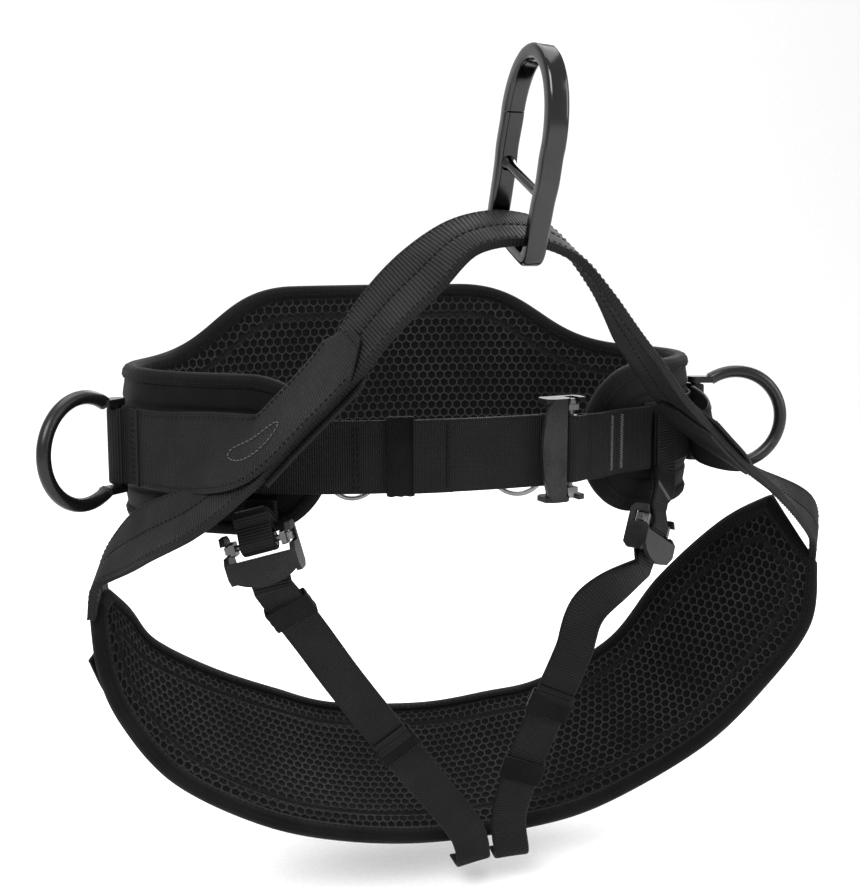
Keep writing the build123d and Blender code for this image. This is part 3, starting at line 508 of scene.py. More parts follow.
def threads(name, segments, body, mat="thread_black", radius=0.00038, sides=6):
    """Stitches: each (start, end, normal) is a short thread that rises from the cloth and dips back."""
    verts, faces = [], []
    ts = np.array([0.0, 0.12, 0.35, 0.65, 0.88, 1.0])
    rise = np.array([-0.9, 0.25, 0.8, 0.8, 0.25, -0.9]) * radius
    fat = np.array([0.35, 0.85, 1.0, 1.0, 0.85, 0.35]) * radius
    ang = np.linspace(0, 2 * np.pi, sides, endpoint=False)
    for a, b, n in segments:
        a, b, n = np.asarray(a), np.asarray(b), np.asarray(n)
        d = unit(b - a)
        n = unit(n - d * (d @ n))
        k = np.cross(d, n)
        base = len(verts)
        for t, h, f in zip(ts, rise, fat):
            c = a + (b - a) * t + n * h
            verts.extend(c + f * (np.cos(q) * n + np.sin(q) * k) for q in ang)
        faces.extend((grid_faces(len(ts), sides, closed=True) + base).tolist())
        faces.append([base + j for j in range(sides)][::-1])
        faces.append([base + (len(ts) - 1) * sides + j for j in range(sides)])
    return mesh_object(name, verts, faces, MAT[mat], body)


def run_segments(points, normals, length=0.0026, gap=0.0012):
    """Stitches along a line of points."""
    p, n = np.asarray(points), np.asarray(normals)
    s = np.concatenate([[0], np.cumsum(np.linalg.norm(np.diff(p, axis=0), axis=1))])
    count = int(s[-1] / (length + gap))
    starts = np.arange(count) * (s[-1] / max(count, 1))
    pick = lambda a, q: np.stack([np.interp(q, s, a[:, k]) for k in range(3)], 1)
    a, b, nn = pick(p, starts), pick(p, starts + length), unit(pick(n, starts + length / 2))
    return list(zip(a, b, nn))


def stitch_line(path, across, first, last, lift, length=0.0026, gap=0.0012):
    s = np.linspace(first, last, max(int((last - first) / 0.002), 2))
    p, n = path.at(s, across, lift)
    return run_segments(p, n if lift >= 0 else -n, length, gap)


def bartack(path, middle, across0, across1, lift, rows=1, pitch=0.0011, height=0.004):
    """Dense zigzag across a web."""
    segs = []
    for r in range(rows):
        xs = np.arange(across0, across1, pitch)
        s0 = middle + (r - (rows - 1) / 2) * height * 1.5
        for i, x in enumerate(xs):
            lo, hi = s0 - height / 2, s0 + height / 2
            a, n = path.at(lo, x, lift)
            b, _ = path.at(hi, x + pitch * 0.5, lift)
            segs.append((a[0], b[0], n[0] if lift >= 0 else -n[0]))
            c, _ = path.at(lo, x + pitch, lift)
            segs.append((b[0], c[0], n[0] if lift >= 0 else -n[0]))
    return segs


def hex_depth(x, y):
    """0 on the honeycomb's ridges, 1 in its cells."""
    v = np.stack([x / HEX + 1000.0, y / HEX + 1000.0], -1)
    s, half = np.array([1.0, 1.7320508]), np.array([0.5, 0.8660254])
    r1, r2 = np.mod(v, s) - half, np.mod(v + half, s) - half
    near = np.linalg.norm(r1, axis=-1) < np.linalg.norm(r2, axis=-1)
    r = np.abs(np.where(near[..., None], r1, r2))
    border = 0.5 - np.maximum(r @ np.array([0.5, 0.8660254]), r[..., 0])
    return ease(border, 0.03, 0.15)


def pad(name, mid, normal, flat_xy, edge, half_thick, body, replaces, seams=(), seed=3):
    """A foam pad: crowned closed form with a cover on one face and honeycomb mesh on the other.
    mid, normal: n by m by 3 grids; flat_xy: the surface's own two coordinates in metres; edge:
    distance from the outline. The mesh side is the way normal points."""
    n, m = edge.shape
    thin = half_thick * 0.62
    crown = thin + (half_thick - thin) * ease(edge, 0.003, 0.022)
    lump = wobble(mid, 0.11, seed) * 0.0007 * ease(edge, 0.004, 0.03)
    liner, cover = crown + lump, crown - lump * 0.6
    for at, depth, wide in seams:
        dip = depth * np.exp(-((edge - at) / wide) ** 2)
        liner = liner - dip
        cover = cover - dip * 0.7
    field = ease(edge, 0.0085, 0.0105)
    for at, depth, wide in seams:
        field = field * ease(np.abs(edge - at), 0.0016, 0.0028)
    liner = liner - hex_depth(flat_xy[..., 0], flat_xy[..., 1]) * field * 0.0009
    a = mid + normal * liner[..., None]
    b = mid - normal * cover[..., None]
    verts = np.concatenate([a.reshape(-1, 3), b.reshape(-1, 3)])
    fa = grid_faces(n, m)
    fb = grid_faces(n, m, flip=True) + n * m
    loop = [i * m for i in range(n)] + [(n - 1) * m + j for j in range(1, m)] \
        + [i * m + m - 1 for i in range(n - 2, -1, -1)] + [j for j in range(m - 2, 0, -1)]
    loop = np.array(loop)
    nxt = np.roll(loop, -1)
    rim = np.stack([loop, nxt, nxt + n * m, loop + n * m], -1)
    faces = np.concatenate([fa, fb, rim])
    mats = np.concatenate([np.zeros(len(fa)), np.ones(len(fb) + len(rim))])
    web_a = np.concatenate([flat_xy, field[..., None]], -1).reshape(-1, 3)
    web_b = np.concatenate([flat_xy, np.zeros((n, m, 1))], -1).reshape(-1, 3)
    ob = mesh_object(name, verts, faces, None, body, np.concatenate([web_a, web_b]),
                     mats=[MAT["liner"], MAT["cover"]], face_mats=mats)
    bm = bmesh.new()
    bm.from_mesh(ob.data)
    bmesh.ops.remove_doubles(bm, verts=bm.verts, dist=1e-5)
    bmesh.ops.dissolve_degenerate(bm, edges=bm.edges, dist=1e-6)
    bmesh.ops.recalc_face_normals(bm, faces=bm.faces)
    bm.to_mesh(ob.data)
    bm.free()
    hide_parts(*replaces)
    return ob


def binding(name, rim, inward, normal, half_thick, wide, body, replaces, closed=True):
    """Folded tape round an outline: rim points, inward direction in the pad, pad normal."""
    rim, inward, normal = (np.asarray(a, float) for a in (rim, inward, normal))
    s = np.concatenate([[0], np.cumsum(np.linalg.norm(np.diff(rim, axis=0), axis=1))])
    out = 0.0009
    h = half_thick
    shape = [(wide, h + 0.0012), (wide * 0.75, h + 0.0016), (wide * 0.45, h + 0.0015), (wide * 0.2, h + 0.0010),
             (0.0, h * 0.80), (-out, h * 0.42), (-out * 1.25, 0.0), (-out, -h * 0.42), (0.0, -h * 0.80),
             (wide * 0.2, -h - 0.0010), (wide * 0.45, -h - 0.0015), (wide * 0.75, -h - 0.0016),
             (wide, -h - 0.0012), (wide * 1.02, -h - 0.0002), (wide * 0.5, -h * 0.6), (wide * 0.35, 0.0),
             (wide * 0.5, h * 0.6), (wide * 1.02, h + 0.0002)]
    b = np.array([p[0] for p in shape])
    k = np.array([p[1] for p in shape])
    pucker = 0.00022 * np.sin(2 * np.pi * s / 0.0042)[:, None] * (b > 0.0015)[None, :] * np.sign(k)[None, :]
    v = rim[:, None, :] + inward[:, None, :] * b[None, :, None] + normal[:, None, :] * (k[None, :] + pucker)[..., None]
    n, m = len(rim), len(shape)
    faces = grid_faces(n, m, closed=True)
    if closed:
        last = (n - 1) * m
        ring = np.stack([last + np.arange(m), last + (np.arange(m) + 1) % m, (np.arange(m) + 1) % m, np.arange(m)], -1)
        faces = np.concatenate([faces, ring])
    web = np.stack([np.tile(b, (n, 1)), np.tile(s[:, None], (1, m)), np.tile(k, (n, 1))], -1)
    ob = mesh_object(name, v.reshape(-1, 3), faces, MAT["binding"], body, web.reshape(-1, 3))
    bm = bmesh.new()
    bm.from_mesh(ob.data)
    bmesh.ops.recalc_face_normals(bm, faces=bm.faces)
    bm.to_mesh(ob.data)
    bm.free()
    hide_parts(*replaces)
    segs = []
    loop = np.concatenate([rim, rim[:1]]) if closed else rim
    li = np.concatenate([inward, inward[:1]]) if closed else inward
    ln = np.concatenate([normal, normal[:1]]) if closed else normal
    for sign in (1, -1):
        line = loop + li * wide * 0.72 + ln * sign * (h + 0.0016)
        segs += run_segments(line, ln * sign, 0.0028, 0.0014)
    threads(name + "_stitches", segs, body, "thread_black", 0.0003, 4)
    return ob


# ---- belt -------------------------------------------------------------------------------
def belt_span():
    """Headings along the belt with the low and high edge at each, dense near the round tips."""
    xs = np.linspace(0, 1, 400)
    bx = FOOT * (1 - xs)**3 + 3 * (FOOT - 0.061) * (1 - xs)**2 * xs + 3 * (FLAT + 0.061) * (1 - xs) * xs**2 + FLAT * xs**3
    bz = 3 * xs**2 - 2 * xs**3
    radius = (BELT_TOP - BELT_LOW) / 2
    turn = np.radians(np.linspace(2, 90, 30))
    tip_x = TIP + radius - radius * np.cos(turn)
    tip_h = np.degrees(np.arcsin(tip_x / W))
    h_end = tip_h[-1]
    hs = np.linspace(h_end, 360 - h_end, 2400)
    p = np.array([belt_point(h, 0)[:2] for h in hs])
    s = np.concatenate([[0], np.cumsum(np.linalg.norm(np.diff(p, axis=0), axis=1))])
    even = np.interp(np.linspace(0, s[-1], int(s[-1] / 0.00125)), s, hs)
    heads = np.concatenate([tip_h[:-1], even, (360 - tip_h[:-1])[::-1]])
    low, high = [], []
    for h in heads:
        x, front = abs(W * math.sin(math.radians(h))), math.cos(math.radians(h)) > 0
        if front:
            k = math.sqrt(max(radius**2 - max(TIP + radius - x, 0)**2, 1e-12)) if x < TIP + radius else radius
            mid = (BELT_TOP + BELT_LOW) / 2
            low.append(mid - k)
            high.append(mid + k)
        else:
            rise = 0.0 if x > FOOT else (1.0 if x < FLAT else float(np.interp(-x, -bx, bz)))
            low.append(BELT_LOW + (HOLLOW - BELT_LOW) * rise)
            high.append(BELT_TOP + (HUMP - BELT_TOP) * rise)
    return heads, np.array(low), np.array(high)


heads, low, high = belt_span()
rad = np.radians(heads)
mid_xy = np.stack([(W - PAD / 2) * np.sin(rad), -(D - PAD / 2) * np.cos(rad)], 1)
arc = np.concatenate([[0], np.cumsum(np.linalg.norm(np.diff(mid_xy, axis=0), axis=1))])
inward_n = -unit(np.stack([np.sin(rad) / W, -np.cos(rad) / D, 0 * rad], 1))
m_rows = 104
tt = np.linspace(0, 1, m_rows)
zz = low[:, None] + (high - low)[:, None] * tt[None, :]
mid = np.concatenate([np.repeat(mid_xy[:, None, :], m_rows, 1), zz[..., None]], -1)
flat_xy = np.stack([np.repeat(arc[:, None], m_rows, 1), zz], -1)


def outline_distance(flat_xy):
    """Distance of each grid point from the grid's outline, in the surface's own coordinates."""
    n, m = flat_xy.shape[:2]
    rim = np.concatenate([flat_xy[:, 0], flat_xy[:, -1], flat_xy[0], flat_xy[-1]])
    tree = kdtree.KDTree(len(rim))
    for i, p in enumerate(rim):
        tree.insert((p[0], p[1], 0), i)
    tree.balance()
    return np.array([tree.find((p[0], p[1], 0))[2] for p in flat_xy.reshape(-1, 2)]).reshape(n, m)


edge = outline_distance(flat_xy)
normals = np.repeat(inward_n[:, None, :], m_rows, 1)
pad("belt_pad", mid, normals, flat_xy, edge, PAD / 2, "belt",
    ["belt_cover", "belt_foam", "belt_mesh_liner"], seams=[(0.0215, 0.0016, 0.0016)])


def rim_loop(mid, flat_xy, normals, spacing=0.0016):
    """Outline of a grid as one loop: points, inward directions and normals."""
    n, m = flat_xy.shape[:2]
    take = [(i, 0) for i in range(n)] + [(n - 1, j) for j in range(1, m)] \
        + [(i, m - 1) for i in range(n - 2, -1, -1)] + [(0, j) for j in range(m - 2, 0, -1)]
    i, j = np.array(take).T
    p, q, nn = mid[i, j], flat_xy[i, j], normals[i, j]
    keep = [0]
    for k in range(1, len(p)):
        if np.linalg.norm(p[k] - p[keep[-1]]) > spacing:
            keep.append(k)
    if np.linalg.norm(p[keep[-1]] - p[0]) < spacing * 0.6:
        keep.pop()
    p, nn = p[keep], nn[keep]
    for _ in range(3):
        p = p * 0.5 + (np.roll(p, 1, 0) + np.roll(p, -1, 0)) * 0.25
    t = unit(np.roll(p, -1, 0) - np.roll(p, 1, 0))
    inward = unit(np.cross(nn, t))
    centre = mid.reshape(-1, 3).mean(0)
    return p, inward, nn


def oriented(p, inward, nn, grid):
    """Turns the inward directions so that they point into the pad."""
    tree = kdtree.KDTree(grid.shape[0] * grid.shape[1])
    flat = grid.reshape(-1, 3)
    for i, q in enumerate(flat):
        tree.insert(q, i)
    tree.balance()
    a = np.mean([tree.find(q)[2] for q in p + inward * 0.004])
    b = np.mean([tree.find(q)[2] for q in p - inward * 0.004])
    return (p, inward, nn) if a < b else (p, -inward, nn)


rim, inw, rn = oriented(*rim_loop(mid, flat_xy, normals), mid)
binding("belt_edge_tape", rim, inw, rn, PAD / 2 * 0.66, 0.0072, "belt", ["belt_binding"])


def belt_path(first, last, stand, z=0.0, count=300):
    hs = np.linspace(first, last, count)
    c = np.array([belt_point(h, stand if np.isscalar(stand) else float(np.interp(h, *stand)), z) for h in hs])
    return Path(c, np.tile(UP, (count, 1)))


WEB = 0.0022
waist = belt_path(41, 360 - 36, 0.0003 + WEB / 2)
strip("waist_web", waist, 0.045, WEB, MAT["belt"], "belt", pitch=0.0014, rib=0.0001,
      replaces=["waist_webbing"])
segs = []
for x in (-0.0195, 0.0195):
    segs += stitch_line(waist, x, 0.01, waist.length - 0.01, -WEB / 2)
threads("waist_web_stitches", segs, "belt")


# ---- buckles ----------------------------------------------------------------------------
class Plane3:
    def __init__(self, origin, x, z):
        self.o, self.x, self.z = np.asarray(origin, float), unit(x), unit(z)
        self.y = np.cross(self.z, self.x)

    def point(self, a, b, c):
        return self.o + self.x * a + self.y * b + self.z * c


def belt_plane(heading, stand):
    out = belt_out(heading)
    return Plane3(belt_point(heading, stand), np.cross(UP, out), out)


STRAP_STAND = 0.0057
buckles = {"waist": belt_plane(17.6, STRAP_STAND + WEB + 0.00015)}
for side, spot, yaw, roll in (("left", (-0.650, 0.965, -53), -24, -16), ("right", (0.655, 0.900, -60), 38, 26)):
    y, r = math.radians(yaw), math.radians(roll)
    out, level = np.array([math.sin(y), -math.cos(y), 0]), np.array([math.cos(y), math.sin(y), 0])
    buckles[side + "_leg"] = Plane3(place(spot), UP * math.cos(r) + level * math.sin(r), out)


def turn_path(plane, centre, rise, radius, start_dir, rest_low, rest_high, across):
    """Centre line that comes in under a rod, turns round it and goes back over it."""
    angles = np.radians(np.linspace(-90, 90, 22))
    arc_pts = [plane.point(centre - start_dir * math.cos(a) * radius, 0, rise + math.sin(a) * radius) for a in angles]
    pts = list(rest_low) + arc_pts + list(rest_high)
    return Path(pts, np.tile(across, (len(pts), 1)))


# front strap: from under the left sleeve, round the buckle's rod, its end folded back outside
wb = buckles["waist"]
hs = np.linspace(-46, 11.0, 120)
lower = [belt_point(h, STRAP_STAND + WEB / 2) for h in hs]
rod_low = wb.point(-0.011, 0, -0.00295)
lower = [p for p in lower if (p - rod_low) @ wb.x < -0.006]
tail_hs = np.linspace(10.5, -9.6, 60)
upper = [belt_point(h, STRAP_STAND + WEB * 1.5 + 0.0006) for h in tail_hs]
upper = [p for p in upper if (p - rod_low) @ wb.x < -0.007]
front = turn_path(wb, -0.011, 0.0, 0.00295, -1, lower, upper, UP)
strip("front_web", front, 0.045, WEB, MAT["belt"], "belt", pitch=0.0014, rib=0.0001,
      replaces=["front_strap", "front_strap_tail"])
out_len = float(np.interp(0, [0, 1], [0, 1]))
fold = belt_path(-10.4, -3.6, STRAP_STAND + WEB * 2.1)
strip("front_web_end_fold", fold, 0.0452, 0.0016, MAT["belt"], "belt", pitch=0.0014, rib=0.0001)
seam = belt_path(-24, 8, STRAP_STAND + WEB)
segs = bartack(belt_path(-10.4, -3.6, STRAP_STAND + WEB * 2.1 + 0.0008), 0.0215, -0.019, 0.019, 0.0, pitch=0.0016,
               height=0.0022)
threads("front_web_end_stitches", segs, "belt")
seam = belt_path(-24, -12, STRAP_STAND + WEB)
segs = []
for s0 in (0.012, 0.0145):
    xs = np.linspace(-0.020, 0.020, 16)
    pts = np.array([seam.at(s0, x, 0.0003)[0][0] for x in xs])
    segs += run_segments(pts, np.array([seam.at(s0, x, 0)[1][0] * -1 for x in xs]))
segs = [(a, b, belt_out(-18)) for a, b, n in segs]
threads("front_web_seam", segs, "belt")


def band(name, node, body, centre, width_dir, ahead, width, thick, length, wall=0.0011, slack=0.0005):
    """Elastic keeper: a soft flat band round a strap, gathered slightly at its edges."""
    w, a = unit(width_dir), unit(ahead)
    w = unit(w - a * (a @ w))
    n = np.cross(a, w)
    rows, around = 17, 72
    ang = np.linspace(0, 2 * np.pi, around, endpoint=False)
    hx, hy = width / 2 + slack + wall, thick / 2 + slack + wall
    verts, web = [], []
    for inner in (0, 1):
        for i, v in enumerate(np.linspace(-0.5, 0.5, rows)):
            pinch = 1 + 0.010 * math.cos(v * 18)
            lip = 0.0003 * max(0, (abs(v) - 0.42) / 0.08)
            for q in ang:
                cx, cy = math.cos(q), math.sin(q)
                k = 12.0
                rr = (abs(cx)**k + abs(cy)**k) ** (-1 / k)
                off = wall if inner else 0
                x, y = cx * rr * (hx - off) * pinch, cy * rr * (hy - off + (0 if inner else lip))
                verts.append(centre + w * x + n * y + a * v * length)
                web.append((q * 0.008, v * length, 0))
    m = around
    f_out = grid_faces(rows, m, closed=True)
    f_in = grid_faces(rows, m, closed=True, flip=True) + rows * m
    j = np.arange(m)
    k = (j + 1) % m
    cap0 = np.stack([j, k, k + rows * m, j + rows * m], -1)
    o = (rows - 1) * m
    cap1 = np.stack([o + k, o + j, o + j + rows * m, o + k + rows * m], -1)
    ob = mesh_object(name, verts, np.concatenate([f_out, f_in, cap0, cap1]), MAT["elastic"], body, web)
    bm = bmesh.new()
    bm.from_mesh(ob.data)
    bmesh.ops.recalc_face_normals(bm, faces=bm.faces)
    bm.to_mesh(ob.data)
    bm.free()
    if node:
        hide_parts(node)
    return ob


kp = belt_plane(-12.5, STRAP_STAND + WEB / 2)
band("front_elastic", "front_strap_keeper", "front_keeper", kp.o, UP, kp.x, 0.0455, 0.0026, 0.0165)


def tab_strip(name, buckle, anchors, flats, width, replaces):
    """Doubled web sewn to the belt, its eye round the lift-out pin."""
    pb = buckles[buckle]
    start = pb.point(0.004 + 0.0116, 0, 0.0015)
    near = start + pb.x * (np.linalg.norm(anchors[0] - start) / 3)
    pts = [start, near] + list(anchors)
    fl = [pb.y, pb.y] + list(flats)
    u = np.linspace(0, len(pts) - 1, 60)
    c, w = smooth(pts, u), unit(smooth(fl, u))
    t = unit(np.gradient(c, axis=0))
    w = unit(w - t * np.sum(t * w, 1, keepdims=True))
    n = np.cross(t, w)
    if n[0] @ pb.z < 0:
        n = -n
    gap = 0.00118
    r = 0.0042 + 0.00025 + WEB / 2
    ang = np.radians(np.linspace(-90 + 38, -270 - 38 + 360 - 360, 30))
    arc_pts, arc_w = [], []
    for a in np.linspace(-60, -300, 34):
        q = math.radians(a)
        arc_pts.append(pb.point(0.004 + math.cos(q) * r, 0, 0.0015 + math.sin(q) * r))
        arc_w.append(pb.y)
    low_side = c - n * gap
    high_side = c + n * gap
    pts = list(low_side[::-1]) + arc_pts + list(high_side)
    ws = list(w[::-1]) + arc_w + list(w)
    p = Path(pts, ws)
    ob = strip(name, p, width, WEB, MAT["belt" if width > 0.03 else "leg"], None, pitch=0.0019,
               rib=0.00012, replaces=replaces)
    a, b = c[int(len(c) * 0.42)], c[0]
    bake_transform(ob)
    top = Path(c + n * (gap + WEB / 2), w)
    return top, (a, b)


TAB_STAND = 0.0003 + 2 * WEB + 0.0003
top, ab = tab_strip("waist_tab_web", "waist", [belt_point(h, TAB_STAND) for h in (31, 36, 41)], [UP, UP, UP],
                    0.042, ["waist_tab", "waist_tab_eye"])
sign = 1 if top.n[0] @ wb.z > 0 else -1
segs = []
for s0 in (0.0225, 0.0335):
    segs += bartack(top, s0, -0.017, 0.017, 0.0003 * sign, pitch=0.0016, height=0.0030)
ob = threads("waist_tab_bartack", segs, None, "thread_grey", 0.00032)
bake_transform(ob)
for side, heading, heights in (("left", -39.0, (-38, -33, -27)), ("right", 47.0, (-26, -6, 16))):
    out = belt_out(heading)
    level = np.cross(UP, out)
    pb = buckles[side + "_leg"]
    stand = TAB_STAND + 0.0009 if side == "right" else 0.0003 + WEB
    level = level if level @ pb.y > 0 else -level
    top, ab = tab_strip(f"{side}_leg_tab_web", side + "_leg", [belt_point(heading, stand, z / 1000) for z in heights],
                        [level] * 3, 0.022, [f"{side}_leg_tab", f"{side}_leg_tab_eye"])
    sign = 1 if top.n[0] @ pb.z > 0 else -1
    segs = bartack(top, 0.013, -0.0085, 0.0085, 0.0003 * sign, pitch=0.0011, height=0.0036)
    ob = threads(f"{side}_leg_tab_bartack", segs, None, "thread_grey", 0.00032)
    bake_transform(ob)

# ---- leg straps -------------------------------------------------------------------------
for side in ("left", "right"):
    pb = buckles[side + "_leg"]
    start = pb.point(-0.0245, 0, 0)
    flats = [np.array(f) for f in LEG_FLAT[side]]
    first = pb.y if pb.y @ flats[0] > 0 else -pb.y
    pts = [start] + [place(p) for p in LEG[side]]
    fl = [first] + flats
    u = np.linspace(0, len(pts) - 1, 260)
    c, w = smooth(pts, u), unit(smooth(fl, u))
    t = unit(np.gradient(c, axis=0))
    w = unit(w - t * np.sum(t * w, 1, keepdims=True))
    n = np.cross(t, w)
    if n[0] @ pb.z < 0:
        n = -n
    tail = u < (3.45 if side == "left" else 3.3)
    arc_pts = [pb.point(-0.011 + math.cos(q) * 0.00295, 0, math.sin(q) * 0.00295)
               for q in np.radians(np.linspace(-118, 118, 26))]
    pts = list(c[::-1] - n[::-1] * 0.0002) + arc_pts + list(c[tail] + n[tail] * 0.0023)
    ws = list(w[::-1]) + [first] * 26 + list(w[tail])
    strip(f"{side}_leg_web", Path(pts, ws), 0.025, WEB, MAT["leg"], "belt", pitch=0.0019, rib=0.00016,
          replaces=[f"{side}_leg_strap"])
    last = np.where(tail)[0][-1]
    k = slice(last - 9, last + 1)
    strip(f"{side}_leg_web_end_fold", Path(c[k] + n[k] * 0.0042, w[k]), 0.0252, 0.0018, MAT["leg"], "belt")
    top = Path(c[k] + n[k] * 0.0052, w[k])
    sg = 1 if top.n[0] @ n[last] > 0 else -1
    threads(f"{side}_leg_web_end_stitches", bartack(top, top.length * 0.5, -0.010, 0.010, 0.0001 * sg, pitch=0.0013,
                                                    height=0.0022), "belt")
    uk = 3.5
    ck = smooth(pts[:0] + [start] + [place(p) for p in LEG[side]], uk)[0]
    i = int(np.argmin(np.abs(u - uk)))
    band(f"{side}_leg_elastic", f"{side}_leg_keeper", f"{side}_leg_keeper", c[i] + n[i] * 0.001, w[i], t[i], 0.0255,
         0.0048, 0.0145)
    uk = 0.55 if side == "left" else 5.0
    i = int(np.argmin(np.abs(u - uk)))
    band(f"{side}_leg_elastic_low", None, "belt", c[i] + n[i] * (0.001 if side == "left" else 0.0), w[i], t[i], 0.0255,
         0.0048 if side == "left" else 0.0026, 0.016)

# ---- seat -------------------------------------------------------------------------------
rear_pts = np.array([seat_place(p) for p in SEAT_REAR])
front_pts = np.array([seat_place(p) for p in SEAT_FRONT])
uu = np.linspace(0, 12, 1200)
cen = (smooth(rear_pts, uu) + smooth(front_pts, uu)) / 2
cs = np.concatenate([[0], np.cumsum(np.linalg.norm(np.diff(cen, axis=0), axis=1))])
us = np.interp(np.linspace(0, cs[-1], int(cs[-1] / 0.00135)), cs, uu)
fr, re = smooth(front_pts, us), smooth(rear_pts, us)
m_rows = 118
tt = np.linspace(0, 1, m_rows)
smid = fr[:, None, :] + (re - fr)[:, None, :] * tt[None, :, None]
span = np.linalg.norm(re - fr, axis=1)
along = unit(np.gradient(smid, axis=0))
across = unit(re - fr)[:, None, :]
snorm = unit(np.cross(along, np.broadcast_to(across, along.shape)))
dish = np.sin(np.pi * tt)[None, :] * 0.006 * np.sin(np.pi * np.linspace(0, 1, len(us)))[:, None]
smid = smid - snorm * dish[..., None]
s_arc = np.linspace(0, cs[-1], len(us))
sxy = np.stack([np.repeat(s_arc[:, None], m_rows, 1), (tt[None, :] - 0.5) * span[:, None]], -1)
sedge = outline_distance(sxy)
pad("seat_pad_sling", smid, snorm, sxy, sedge, 0.006, "belt",
    ["seat_cover", "seat_foam", "seat_mesh_liner"], seams=[(0.0225, 0.0018, 0.0018)], seed=11)
rim, inw, rn = oriented(*rim_loop(smid, sxy, snorm), smid)
binding("seat_edge_tape", rim, inw, rn, 0.006 * 0.66, 0.0074, "belt", ["seat_binding"])
load_u = np.linspace(1.0, 11.3, 300)
lf, lr = smooth(front_pts, load_u), smooth(rear_pts, load_u)
lmid = (lf + lr) / 2
la = unit(np.gradient(lmid, axis=0))
lw = unit(lr - lf)
ln = unit(np.cross(la, lw))
load_gap = 0.0080 + 0.006 * np.sin(np.pi * load_u / 12)
load = Path(lmid - ln * load_gap[:, None], lw)
width_at = np.clip((np.linalg.norm(lr - lf, axis=1) - 0.002) / 0.045, 0.3, 1.0)
load_s = np.linspace(0, load.length, 300)
strip("seat_load_web", load, 0.045, WEB, MAT["belt"], "belt", pitch=0.0014, rib=0.0001,
      taper=lambda s: np.interp(s, load_s, width_at), replaces=["seat_load_webbing"])

# ---- bridge -----------------------------------------------------------------------------
bp = np.array([place(p) for p in BRIDGE])
bf = np.array(BRIDGE_FLAT, float)
bridge = route(bp, bf, 0.0, 19.0, 700)
strip("bridge_web_strap", bridge, 0.044, 0.005, MAT["bridge"], "belt", pitch=0.0021, rib=0.0002,
      groove=0.0007, split=0.0012, replaces=["bridge_strap"])
segs = []
for lift in (0.0021, -0.0021):
    segs += stitch_line(bridge, 0.0, 0.01, bridge.length - 0.01, lift, 0.0027, 0.0013)
threads("bridge_centre_stitches", segs, "belt", "thread_black", 0.00045)
segs = []
for x in (-0.0190, 0.0190):
    for lift in (0.0026, -0.0026):
        segs += stitch_line(bridge, x, 0.01, bridge.length - 0.01, lift, 0.0027, 0.0013)
threads("bridge_edge_stitches", segs, "belt", "thread_black", 0.0003, 5)


def dist_u(u):
    """Length along the bridge at route position u."""
    p = smooth(bp, u)[0]
    return float(bridge.s[np.argmin(np.linalg.norm(bridge.c - p, axis=1))])


def softened(path, reach):
    """The same path with its turns rounded over a length of about the reach."""
    step = path.length / (len(path.s) - 1)
    k = np.arange(-int(3 * reach / step), int(3 * reach / step) + 1)
    bell = np.exp(-0.5 * (k * step / reach) ** 2)
    bell /= bell.sum()
    half = len(k) // 2

    def blur(a):
        lead = a[0] - (a[1:half + 1][::-1] - a[0])
        trail = a[-1] - (a[-half - 1:-1][::-1] - a[-1])
        whole = np.concatenate([lead, a, trail])
        return np.stack([np.convolve(whole[:, i], bell, "valid") for i in range(3)], 1)

    return Path(blur(path.c), unit(blur(path.w)))


def sleeve(side, u0, u1, heads_stands, z, face):
    """Web from a side keeper that lies on the bridge strap as its sleeve, with a panel behind."""
    s0, s1 = dist_u(u0), dist_u(u1)
    s = np.linspace(s0, s1, 60)
    p, n = bridge.at(s, 0.0, 0.0)
    w = np.stack([np.interp(s, bridge.s, bridge.w[:, k]) for k in range(3)], 1)
    t = np.stack([np.interp(s, bridge.s, bridge.t[:, k]) for k in range(3)], 1)
    if face * (n[0] @ np.array([-0.3, -0.6, 0.5])) < 0:
        n = -n
    if s0 > s1:
        t = -t
    front = p + n * 0.0044
    tie = [belt_point(h, st, zz) for (h, st), zz in zip(heads_stands, z)]
    lay = w if w[0] @ UP > 0 else -w
    path = softened(Path(tie + list(front), [UP] * len(tie) + list(lay)), 0.011)
    L = path.length
    strip(f"sleeve_{side}_web", path, 0.050, WEB, MAT["side"], "belt", pitch=0.0016, rib=0.00012,
          taper=lambda s_: 1 - 0.72 * np.clip((s_ - L + 0.020) / 0.020, 0, 1), replaces=[f"bridge_sleeve_{side}"])
    behind = Path(p - n * 0.0042, w)
    Lb = behind.length
    strip(f"sleeve_{side}_web_behind", behind, 0.050, WEB, MAT["side"], "belt", pitch=0.0016, rib=0.00012,
          taper=lambda s_: 1 - 0.72 * np.clip((s_ - Lb + 0.020) / 0.020, 0, 1))
    return path, n


